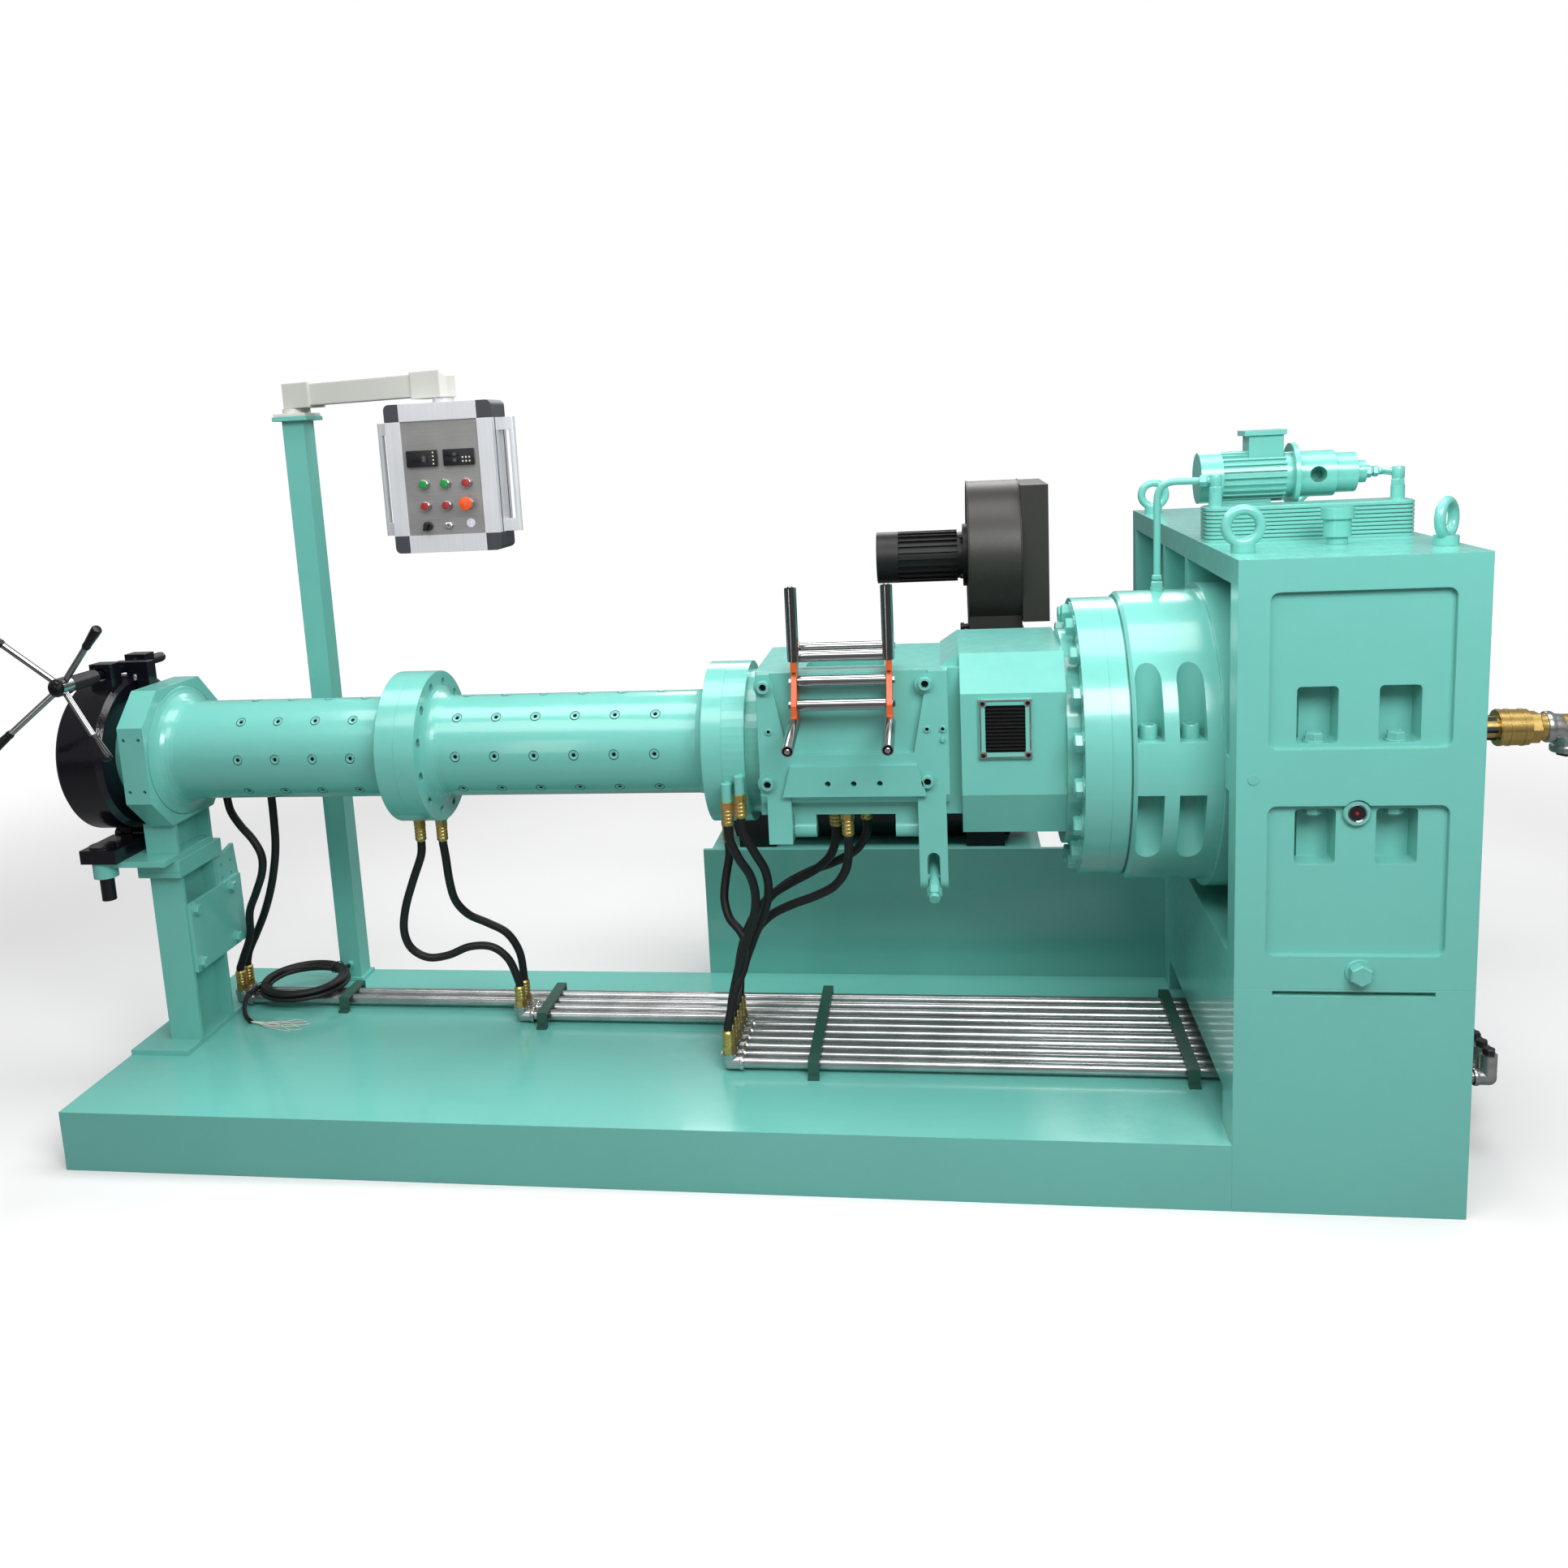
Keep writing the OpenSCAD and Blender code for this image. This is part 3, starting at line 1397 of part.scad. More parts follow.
module gear_pump() {
  x0 = pump_x + pump_motor_l + pump_flange_l;
  x1 = x0 + bell_house_l;
  color(paint) site() {
    difference() {
      bar_x(x0, x1, pump_y, pump_z, bell_house_r);
      bar_y(pump_y - bell_house_r - over, pump_y, x0 + bell_house_l / 2, pump_z, bell_window_r);
    }
    bar_x(x1, x1 + gear_pump_l, pump_y, pump_z, gear_pump_r);
    bar_x(x1 + gear_pump_l, x1 + gear_pump_l + pump_nose_l, pump_y, pump_z, pump_nose_r);
  }
}

module oil_cooler() {
  z1 = case_top + cooler_h;
  step = cooler_h / cooler_rib_n;
  color(paint) site() {
    translate([cooler_x, cooler_y, case_top]) {
      translate([cooler_rib, cooler_rib, 0]) linear_extrude(cooler_h)
        rounded_rect(cooler_l - 2 * cooler_rib, cooler_d - 2 * cooler_rib, cooler_corner - cooler_rib);
      for (i = [0 : cooler_rib_n - 1])
        translate([0, 0, i * step]) linear_extrude(step - step / 4)
          rounded_rect(cooler_l, cooler_d, cooler_corner);
    }
    for (x = [cooler_x + port_in, cooler_x + cooler_l - port_in])
      bar_z(z1 - cooler_rib, z1 + oil_port_h, x, cooler_y + cooler_d / 2, oil_port_r);
  }
}

module oil_lines() {
  x0 = drum_x + oil_boss_x;
  x1 = cooler_x + port_in;
  y1 = cooler_y + cooler_d / 2;
  z0 = axis_z + drum_r + oil_boss_up;
  z1 = case_top + cooler_h + oil_port_h;
  px0 = pump_x + pump_motor_l + pump_flange_l + bell_house_l + gear_pump_l + pump_nose_l;
  px1 = cooler_x + cooler_l - port_in;
  color(paint) site() {
    bar_z(z0, oil_z, x0, axis_y, oil_pipe_r);
    translate([x0, axis_y, oil_z]) sphere(oil_elbow_r);
    route_bar([x0, axis_y, oil_z], [x1, y1, oil_z], oil_pipe_r);
    translate([x1, y1, oil_z]) sphere(oil_elbow_r);
    bar_z(z1, oil_z, x1, y1, oil_pipe_r);
    bar_x(px0, px1, pump_y, pump_z, oil_pipe_r);
    translate([px1, pump_y, pump_z]) sphere(oil_elbow_r);
    bar_y(y1, pump_y, px1, pump_z, oil_pipe_r);
    translate([px1, y1, pump_z]) sphere(oil_elbow_r);
    bar_z(z1, pump_z, px1, y1, oil_pipe_r);
  }
}

// A round bar between two points at one level
module route_bar(a, b, r) {
  v = b - a;
  translate(a) rotate([0, 0, atan2(v[1], v[0])]) rotate([0, 90, 0]) cylinder(r = r, h = norm(v));
}

module breather() {
  color(paint) site() translate([breather_x, breather_y, case_top]) {
    cylinder(r = breather_neck_r, h = breather_neck_h);
    translate([0, 0, breather_neck_h]) cylinder(r = breather_r - breather_neck_r / 4, h = breather_body_h);
    translate([0, 0, breather_neck_h + breather_body_h]) cylinder(r = breather_r, h = breather_cap_h);
  }
}

module lifting_eye(x, y, turn) {
  translate([x, y, case_top]) rotate([0, 0, turn]) {
    cylinder(r = eye_foot_r, h = eye_foot_h);
    translate([0, 0, eye_foot_h + eye_r]) rotate([90, 0, 0]) rotate_extrude() translate([eye_r, 0])
      circle(eye_tube_r);
  }
}

module lifting_eyes() {
  color(paint) site() {
    lifting_eye(case_x + eye_in, eye_y, 0);
    lifting_eye(base_l - eye_in, eye_y, eye_turn);
    lifting_eye(case_x + eye_in, base_d - eye_y, 0);
    lifting_eye(base_l - eye_in, base_d - eye_y, 0);
  }
}

module rotary_union() {
  x0 = base_l + cap_l;
  x1 = x0 + union_shaft_l;
  x2 = x1 + union_body_l;
  x3 = x2 + union_neck_l;
  x4 = x3 + union_elbow_l;
  color(brass) site() {
    bar_x(x0, x1, axis_y, axis_z, union_shaft_r);
    bar_x(x1, x2, axis_y, axis_z, union_body_r);
    bar_x(x2, x3, axis_y, axis_z, union_neck_r);
    bar_x(x3, x4, axis_y, axis_z, union_elbow_r);
    translate([x4, axis_y, axis_z]) sphere(union_elbow_r);
    bar_z(axis_z - union_leg, axis_z, x4, axis_y, union_elbow_r);
  }
}

// Left end of pipe i: the back two run the whole deck, the next two to the barrel joint
function pipe_start(i) = i >= pipe_n - 2 ? left_elbow_x : i >= pipe_n - 4 ? mid_elbow_x : right_elbow_x;

// Elbow that turns a pipe up
module elbow(x, y, leg, toward) {
  bar_z(pipe_z, pipe_z + leg, x, y, elbow_r);
  translate([x, y, pipe_z]) sphere(elbow_r);
  bar_x(toward > 0 ? x : x - elbow_arm, toward > 0 ? x + elbow_arm : x, y, pipe_z, elbow_r);
}

module water_pipes() {
  color(steel) site() for (i = [0 : pipe_n - 1]) {
    y = pipe_y + i * pipe_pitch;
    bar_x(pipe_start(i), base_l + pipe_out, y, pipe_z, pipe_r);
    elbow(pipe_start(i), y, elbow_leg, 1);
    elbow(base_l + pipe_out, y, outlet_leg, -1);
  }
}

// Strap across a row of pipes, standing on the deck at both ends
module strap(x, first, last) {
  y0 = pipe_y + first * pipe_pitch - pipe_r;
  y1 = pipe_y + last * pipe_pitch + pipe_r;
  z1 = pipe_z + pipe_r;
  slab(x, x + strap_w, y0 - strap_over, y1 + strap_over, z1, z1 + strap_t);
  for (y = [y0 - strap_over, y1 + strap_over - strap_t])
    slab(x, x + strap_w, y, y + strap_t, deck_h, z1 + over);
  slab(x, x + strap_w, y0 - strap_over - strap_foot, y0 - strap_over + over, deck_h, deck_h + strap_t);
}

module pipe_clamps() {
  color(clamp_green) site() {
    strap(right_elbow_x + right_strap_in, 0, pipe_n - 1);
    strap(case_x - strap_w - strap_end, 0, pipe_n - 1);
    strap(mid_elbow_x + mid_strap_in, pipe_n - 4, pipe_n - 1);
    strap(left_elbow_x + left_strap_in, pipe_n - 2, pipe_n - 1);
  }
}

// Hose end: a hex and a ferrule from the seat at the given level
module fitting(x, y, z, up) {
  if (up > 0) {
    bar_z(z, z + fitting_l, x, y, fitting_r);
    translate([x, y, z]) cylinder(r = hex_r, h = hex_l, $fn = 6);
  } else {
    bar_z(z - fitting_l, z, x, y, fitting_r);
    translate([x, y, z - hex_l]) cylinder(r = hex_r, h = hex_l, $fn = 6);
  }
}

module hose_fittings() {
  color(brass) site() {
    for (i = [0 : pipe_n - 1])
      fitting(pipe_start(i), pipe_y + i * pipe_pitch, pipe_z + elbow_leg, 1);
    for (p = hose_tops)
      fitting(p[0], p[1], p[2], -1);
  }
}

// Whole way of hose i, from its upper fitting to the one on its pipe
function hose_way(i) =
  let (p = hose_tops[i], k = hose_pipes[i], stub = [0, 0, hose_stub],
       top = [p[0], p[1], p[2] - fitting_l],
       foot = [pipe_start(k), pipe_y + k * pipe_pitch, pipe_z + elbow_leg + fitting_l])
  concat([top], smooth(concat([top - stub], hose_routes[i], [foot + stub]), 2), [foot]);

module water_hoses() {
  color(rubber) site() for (i = [0 : len(hose_routes) - 1]) tube_along(hose_way(i), hose_r);
}

module control_post() {
  h = post_w / 2;
  color(paint) site() {
    slab(post_x - h, post_x + h, post_y - h, post_y + h, deck_h, post_top - post_cap_t);
    slab(post_x - post_foot / 2, post_x + post_foot / 2, post_y - post_foot / 2, post_y + post_foot / 2,
         deck_h, deck_h + post_foot_t);
    slab(post_x - post_cap / 2, post_x + post_cap / 2, post_y - post_cap / 2, post_y + post_cap / 2,
         post_top - post_cap_t - over, post_top);
    bar_y(post_y - h - gland_l, post_y - h + over, post_x, gland_z, gland_r);
  }
}

module arm_base() {
  w = arm_base_w / 2;
  color(pale_grey) site() {
    slab(post_x - w, post_x + w, post_y - w, post_y + w, post_top, post_top + arm_base_t);
    bar_z(post_top + arm_base_t - over, post_top + arm_base_t + arm_neck_h, post_x, post_y, arm_neck_r);
    bar_z(post_top + arm_base_t, arm_z0 + spigot_h, post_x, post_y, spigot_r);
  }
}

// Block over a swivel, with its outer corners taken off
module arm_end() {
  w = arm_end_d / 2;
  c = arm_end_cut;
  intersection() {
    prism_y(-w, w, [[-swivel_r, 0], [arm_end_l, 0], [arm_end_l, arm_end_h], [c - swivel_r, arm_end_h],
                    [-swivel_r, arm_end_h - c]]);
    linear_extrude(arm_end_h)
      polygon([[-swivel_r, c - w], [c - swivel_r, -w], [arm_end_l, -w], [arm_end_l, w], [c - swivel_r, w],
               [-swivel_r, w - c]]);
  }
}

module swing_arm() {
  color(pale_grey) site() translate([post_x, post_y, arm_z0]) rotate([0, 0, arm_turn]) difference() {
    union() {
      arm_end();
      translate([arm_end_l / 2, -arm_d / 2, (arm_end_h - arm_h) / 2])
        cube([arm_reach - arm_end_l, arm_d, arm_h]);
      translate([arm_reach, 0, 0]) rotate([0, 0, 180]) arm_end();
    }
    for (x = [0, arm_reach])
      translate([x, 0, -over]) cylinder(r = spigot_r + run_gap, h = spigot_h + swivel_gap + over);
  }
}

module at_box() {
  site() translate([arm_end_x, arm_end_y, box_top]) children();
}

// One corner block of the control box, at the given side and level
module box_corner(sx, z) {
  w = panel_box_w / 2;
  x0 = sx < 0 ? -w : w - corner_w;
  translate([x0, -panel_box_d / 2, z]) cube([corner_w, panel_box_d, corner_h]);
}

module box_corner_set() {
  for (s = [-1, 1], z = [-panel_box_h, -corner_h]) box_corner(s, z);
}

module control_box() {
  w = panel_box_w / 2;
  color(alloy) at_box() {
    difference() {
      translate([-w, -panel_box_d / 2, -panel_box_h]) cube([panel_box_w, panel_box_d, panel_box_h]);
      box_corner_set();
      translate([-w + face_w, -panel_box_d / 2 - over, -panel_box_h + corner_h])
        cube([panel_box_w - 2 * face_w, face_sink + over, panel_box_h - 2 * corner_h]);
    }
    cylinder(r = hanger_r, h = hanger_h);
    cylinder(r = spigot_r, h = hanger_h + swivel_gap + spigot_h);
  }
}

module box_corners() {
  color(grey_paint) at_box() box_corner_set();
}

module box_handles() {
  w = panel_box_w / 2;
  color(alloy) at_box() for (s = [-1, 1]) {
    x = s * (w + handle_off);
    z0 = -(panel_box_h + handle_l) / 2;
    translate([x, 0, z0]) cylinder(r = handle_r, h = handle_l);
    for (z = [z0, z0 + handle_l - handle_arm])
      translate([s < 0 ? x : w, -handle_r, z]) cube([handle_off, 2 * handle_r, handle_arm]);
  }
}

module cable_coil() {
  color(rubber) site() translate([coil_x, coil_y, coil_z]) difference() {
    cylinder(r = coil_out_r, h = coil_h);
    translate([0, 0, -over]) cylinder(r = coil_in_r, h = coil_h + 2 * over);
  }
}

module cable_ends() {
  color(rubber) site() {
    tube_along(concat([[post_x, post_y - post_w / 2 - gland_l, gland_z]], smooth(lead_route, 4)), cable_r);
    tube_along(smooth(tail_route, 3), cable_r);
  }
}

base_deck();
motor_wall();
motor_bed();
gear_stand();
gear_case();
thrust_housing();
thrust_flange();
feed_casting();
feed_door();
door_rod();
vent_cover();
vent_mesh();
roller_frame();
cross_roller(0);  // cross_roller_1
cross_roller(1);  // cross_roller_2
cross_roller(2);  // cross_roller_3
cross_roller(3);  // cross_roller_4
upright(frame_x0);  // upright_left
upright(frame_x1 - plate_t);  // upright_right
guide(frame_x0);  // guide_left
guide(frame_x1 - plate_t);  // guide_right
barrel_rear();
barrel_front();
barrel_pins();
head_flange();
die_head();
clamp_front();
clamp_rear();
clamp_base();
screw_yoke();
clamp_screw();
handle_spokes();
handle_grips();
head_bracket();
column();
saddle();
side_plate();
main_motor();
motor_coupling();
blower_scroll();
blower_motor();
pump_motor();
gear_pump();
oil_cooler();
oil_lines();
breather();
lifting_eyes();
rotary_union();
water_pipes();
pipe_clamps();
hose_fittings();
water_hoses();
control_post();
arm_base();
swing_arm();
control_box();
box_corners();
box_handles();
cable_coil();
cable_ends();
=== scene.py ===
"""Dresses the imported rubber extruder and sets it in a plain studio.

Each sub-assembly is a class that takes its places from the frame and adds what the solids leave out:
fasteners, hoses, the cable coil, the control panel, and the finish of every surface.
"""

from __future__ import annotations

import functools
import json
import logging
import math
from dataclasses import dataclass, field
from enum import Enum
from typing import Sequence, Union

import bmesh
import bpy
from mathutils import Matrix, Vector

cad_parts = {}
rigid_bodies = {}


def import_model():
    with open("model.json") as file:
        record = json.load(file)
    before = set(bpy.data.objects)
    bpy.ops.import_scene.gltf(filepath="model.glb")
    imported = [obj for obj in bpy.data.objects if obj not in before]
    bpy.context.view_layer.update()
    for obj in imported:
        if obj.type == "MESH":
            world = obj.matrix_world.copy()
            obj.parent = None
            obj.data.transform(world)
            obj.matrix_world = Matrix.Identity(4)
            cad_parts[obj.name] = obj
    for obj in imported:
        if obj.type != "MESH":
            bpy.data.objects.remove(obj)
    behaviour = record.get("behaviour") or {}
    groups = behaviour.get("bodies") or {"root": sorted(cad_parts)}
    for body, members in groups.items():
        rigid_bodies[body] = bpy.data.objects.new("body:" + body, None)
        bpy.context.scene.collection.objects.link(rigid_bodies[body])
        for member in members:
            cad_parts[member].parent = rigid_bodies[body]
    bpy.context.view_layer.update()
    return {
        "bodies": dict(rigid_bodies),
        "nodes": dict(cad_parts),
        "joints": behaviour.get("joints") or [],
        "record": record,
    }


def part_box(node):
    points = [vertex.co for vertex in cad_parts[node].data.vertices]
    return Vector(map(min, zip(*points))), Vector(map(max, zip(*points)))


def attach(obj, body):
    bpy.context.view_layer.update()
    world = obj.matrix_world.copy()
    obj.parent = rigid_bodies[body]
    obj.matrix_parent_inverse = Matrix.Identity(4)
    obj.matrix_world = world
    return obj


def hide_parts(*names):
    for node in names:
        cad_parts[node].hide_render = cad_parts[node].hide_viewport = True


LOG = logging.getLogger("extruder")
MACHINE = "machine"
DOOR = "feed_door"
BOX = "control_box"
SCREW = "clamp_screw"
FULL_TURN = 2.0 * math.pi
QUARTER_TURN = 0.5 * math.pi
WHITE = (1.0, 1.0, 1.0)

# The base's front left corner on the floor, in metres, and the screw's Y and Z in millimetres from it.
CORNER_X = 1.79
CORNER_Y = 0.825
SCREW_LINE = (503, 1056)

Number = Union[int, float]
Triple = tuple[float, float, float]
Colour = Triple
Profile = Sequence[tuple[float, float]]


class Axis(Enum):
    """Directions that a fastener or a turned piece can point along."""

    LEFT = (-1.0, 0.0, 0.0)
    RIGHT = (1.0, 0.0, 0.0)
    FRONT = (0.0, -1.0, 0.0)
    BACK = (0.0, 1.0, 0.0)
    UP = (0.0, 0.0, 1.0)
    DOWN = (0.0, 0.0, -1.0)


def toward(place: Vector, direction: Union[Axis, Vector], turn: float = 0.0) -> Matrix:
    """Makes the frame of a piece whose own Z points along a direction.

    Args:
        place: Origin of the piece, in metres.
        direction: Where its Z axis points.
        turn: Turn about that axis, in radians.

    Returns:
        The matrix from the piece's frame to the row's frame.
    """
    way = Vector(direction.value) if isinstance(direction, Axis) else direction
    spin = way.to_track_quat("Z", "Y").to_matrix().to_4x4()
    return Matrix.Translation(place) @ spin @ Matrix.Rotation(turn, 4, "Z")


def spot(place: Sequence[float]) -> Vector:
    """Turns millimetres from the base's corner into a point of the row's frame."""
    return Vector((place[0] / 1000.0 - CORNER_X, place[1] / 1000.0 - CORNER_Y, place[2] / 1000.0))


def seat(place: Sequence[float], direction: Axis, turn: float = 0.0) -> Matrix:
    """Makes the frame of a piece at a place in millimetres from the base's corner."""
    return toward(spot(place), direction, turn)


def shift(x: float, y: float, z: float) -> Matrix:
    """Makes a plain move, in metres."""
    return Matrix.Translation((x, y, z))


def angles(count: int, first: float = 0.0) -> list[float]:
    """Lists equal turns round a circle, the first at a share of one step."""
    return [FULL_TURN * (k + first) / count for k in range(count)]


def smooth_route(points: Sequence[Vector], steps: int) -> list[Vector]:
    """Runs one smooth curve through given points.

    Args:
        points: The points that the curve passes.
        steps: Cuts between each pair of points.

    Returns:
        The points of the curve.
    """
    last = len(points) - 1
    curve: list[Vector] = []
    for i in range(last):
        p0, p1 = points[max(i - 1, 0)], points[i]
        p2, p3 = points[i + 1], points[min(i + 2, last)]
        for k in range(steps):
            s = k / steps
            even = (2 * p0 - 5 * p1 + 4 * p2 - p3) * (s * s / 2)
            odd = (3 * p1 - p0 - 3 * p2 + p3) * (s * s * s / 2)
            curve.append(p1 + (p2 - p0) * (s / 2) + even + odd)
    curve.append(points[last].copy())
    return curve


def length_of(points: Sequence[Vector]) -> float:
    """Measures a route, in metres."""
    return sum((b - a).length for a, b in zip(points, points[1:]))


def put(name: str, data: bpy.types.ID) -> bpy.types.Object:
    """Puts a new object in the scene.

    Args:
        name: Its name.
        data: Its mesh, lamp or camera.

    Returns:
        The object.
    """
    thing = bpy.data.objects.new(name, data)
    bpy.context.scene.collection.objects.link(thing)
    return thing


class Sock:
    """A shader value that takes part in Python sums."""

    def __init__(self, graph: "Graph", socket: bpy.types.NodeSocket) -> None:
        """Wraps an output socket of a graph."""
        self.graph = graph
        self.socket = socket

    def _sum(self, operation: str, first: "Value", second: "Value") -> "Sock":
        """Joins two values; colours go through Mix and vectors through Vector Math.

        Args:
            operation: Name of the sum.
            first: Left side.
            second: Right side.

        Returns:
            The result.
        """
        kinds = {side.socket.type for side in (first, second) if isinstance(side, Sock)}
        if "RGBA" in kinds:
            settings = {"data_type": "RGBA", "blend_type": operation}
            return self.graph.make("ShaderNodeMix", {0: 1.0, 6: first, 7: second}, settings, 2)
        kind = "ShaderNodeVectorMath" if "VECTOR" in kinds else "ShaderNodeMath"
        return self.graph.make(kind, {0: first, 1: second}, {"operation": operation})

    def __add__(self, other: "Value") -> "Sock":
        """Adds."""
        return self._sum("ADD", self, other)

    def __radd__(self, other: "Value") -> "Sock":
        """Adds, from the right."""
        return self._sum("ADD", other, self)

    def __sub__(self, other: "Value") -> "Sock":
        """Takes away."""
        return self._sum("SUBTRACT", self, other)

    def __rsub__(self, other: "Value") -> "Sock":
        """Takes away, from the right."""
        return self._sum("SUBTRACT", other, self)

    def __mul__(self, other: "Value") -> "Sock":
        """Multiplies."""
        return self._sum("MULTIPLY", self, other)

    def __rmul__(self, other: "Value") -> "Sock":
        """Multiplies, from the right."""
        return self._sum("MULTIPLY", other, self)

    def __truediv__(self, other: "Value") -> "Sock":
        """Divides."""
        return self._sum("DIVIDE", self, other)

    def __rtruediv__(self, other: "Value") -> "Sock":
        """Divides, from the right."""
        return self._sum("DIVIDE", other, self)


Value = Union[Sock, Number, tuple]


class Graph:
    """The node tree of one material or of the world."""

    RAMP = (0.28, 0.72)
    EASE_SAMPLES = 4

    def __init__(self, name: str, tree: bpy.types.NodeTree | None = None) -> None:
        """Starts a material with its surface shader, or takes a tree that exists.

        Args:
            name: The material's name.
            tree: A tree to work in, such as the world's.
        """
        if tree is None:
            self.material = bpy.data.materials.new(name)
            self.material.use_nodes = True
            tree = self.material.node_tree
        self.tree = tree
        self.surface = tree.nodes.get("Principled BSDF")

    def make(self, kind: str, inputs: dict, settings: dict | None = None,
             output: Union[str, int] = 0) -> Sock:
        """Makes any node.

        Args:
            kind: The node's type.
            inputs: Socket name or number to a value or a link.
            settings: Attribute name to value, or "stops" to a ramp's places and colours; set first.
            output: Name or number of the output to give back.

        Returns:
            The chosen output.
        """
        node = self.tree.nodes.new(kind)
        for key, value in (settings or {}).items():
            if key == "stops":
                for stop, (place, shade) in zip(node.color_ramp.elements, value):
                    stop.position, stop.color = place, (*shade, 1.0)
            else:
                setattr(node, key, value)
        for key, value in inputs.items():
            self.feed(node.inputs[key], value)
        return Sock(self, node.outputs[output])

    def feed(self, socket: bpy.types.NodeSocket, value: Value) -> None:
        """Sets or links one input.

        Args:
            socket: The input.
            value: A number, a colour or another node's output.
        """
        if isinstance(value, Sock):
            self.tree.links.new(value.socket, socket)
        elif isinstance(value, tuple) and len(value) == 3 and socket.type == "RGBA":
            socket.default_value = (*value, 1.0)
        elif isinstance(value, (int, float)) and socket.type == "VECTOR":
            socket.default_value = (value, value, value)
        else:
            socket.default_value = value

    def cover(self, inputs: dict[str, Value]) -> None:
        """Feeds the surface shader's sockets by name."""
        for name, value in inputs.items():
            self.feed(self.surface.inputs[name], value)

    def place(self) -> Sock:
        """Gives the point on the surface in metres."""
        return self.make("ShaderNodeTexCoord", {}, output="Object")

    def noise(self, scale: float, detail: float = 3.0, stretch: Triple = WHITE) -> Sock:
        """Makes soft noise about 0.5 from features per metre, octaves and a scale along each axis."""
        vector = self.make("ShaderNodeMapping", {"Vector": self.place(), "Scale": stretch})
        return self.make("ShaderNodeTexNoise", {"Vector": vector, "Scale": scale, "Detail": detail})

    def between(self, factor: Sock, low: Value, high: Value) -> Sock:
        """Spreads a factor between two values."""
        return self.make("ShaderNodeMapRange", {"Value": factor, "To Min": low, "To Max": high})

    def colour(self, factor: Sock, *shades: Colour) -> Sock:
        """Mixes two colours by a factor."""
        stops = {"stops": tuple(zip(self.RAMP, shades))}
        return self.make("ShaderNodeValToRGB", {"Fac": factor}, stops, "Color")

    def relief(self, height: Sock, depth: float, edge: float = 0.0) -> Sock:
        """Turns heights into a surface direction.

        Args:
            height: A value from 0 to 1.
            depth: Depth of the relief in metres.
            edge: Radius that hard edges are eased by.

        Returns:
            The normal.
        """
        inputs: dict = {"Height": height, "Strength": 1.0, "Distance": depth}
        if edge > 0.0:
            inputs["Normal"] = self.make("ShaderNodeBevel", {"Radius": edge}, {"samples": self.EASE_SAMPLES})
        return self.make("ShaderNodeBump", inputs)


def tint(colour: Colour, share: float) -> Colour:
    """Lightens or darkens a colour by a factor on each channel."""
    return tuple(min(channel * share, 1.0) for channel in colour)


@dataclass(frozen=True)
class Finish:
    """What a surface is made of; the plain kind is a moulded or painted skin with soft mottling."""

    name: str
    slot: str
    colour: Colour
    rough: float = 0.4
    metal: float = 0.0
    coat: float = 0.0
    mottle: float = 0.08
    grain: float = 60.0
    depth: float = 0.0002
    edge: float = 0.0
    gloss: float = 0.5

    COAT_ROUGH = 0.06
    BROAD = 2.3
    WEAR = (0.75, 1.25)

    def build(self) -> bpy.types.Material:
        """Makes the material.

        Returns:
            The material, ready to assign.
        """
        graph = Graph(self.name)
        graph.cover({"Metallic": self.metal, "Coat Weight": self.coat, "Coat Roughness": self.COAT_ROUGH,
                     "Specular IOR Level": self.gloss})
        self.paint(graph)
        graph.material.diffuse_color = (*self.colour, 1.0)
        return graph.material

    def shades(self, dark: float = 1.0) -> tuple[Colour, Colour]:
        """Gives the darkest and the lightest spot, the dark one pulled further down by a factor."""
        return tint(self.colour, 1.0 - self.mottle * dark), tint(self.colour, 1.0 + self.mottle)

    def worn(self, graph: Graph, factor: Sock) -> Sock:
        """Spreads the roughness between two shares of its mean."""
        low, high = self.WEAR
        return graph.between(factor, self.rough * low, self.rough * high)

    def paint(self, graph: Graph) -> None:
        """Feeds the surface shader.

        Args:
            graph: The material's graph.
        """
        broad, fine = graph.noise(self.BROAD, 4.0), graph.noise(self.grain, 2.0)
        graph.cover({"Base Color": graph.colour(broad, *self.shades()),
                     "Roughness": self.worn(graph, fine),
                     "Normal": graph.relief(fine, self.depth, self.edge)})


@dataclass(frozen=True)
class MachinePaint(Finish):
    """Brushed-on gloss paint: slow waves, a little dust and slightly thin spots."""

    dust: float = 0.2

    BROAD = 1.7
    SPECKLE = 34.0
    FINER = 6.0
    WAVE_SHARES = (0.7, 0.3)
    WEAR = (0.7, 1.5)

    def paint(self, graph: Graph) -> None:
        """Feeds the surface shader.

        Args:
            graph: The material's graph.
        """
        broad, speckle = graph.noise(self.BROAD, 4.0), graph.noise(self.SPECKLE, 5.0)
        factor = broad * (1.0 - self.dust) + speckle * self.dust
        slow, quick = self.WAVE_SHARES
        wave = graph.noise(self.grain, 2.0) * slow + graph.noise(self.grain * self.FINER, 1.0) * quick
        graph.cover({"Base Color": graph.colour(factor, *self.shades()),
                     "Roughness": self.worn(graph, speckle),
                     "Normal": graph.relief(wave, self.depth, self.edge)})


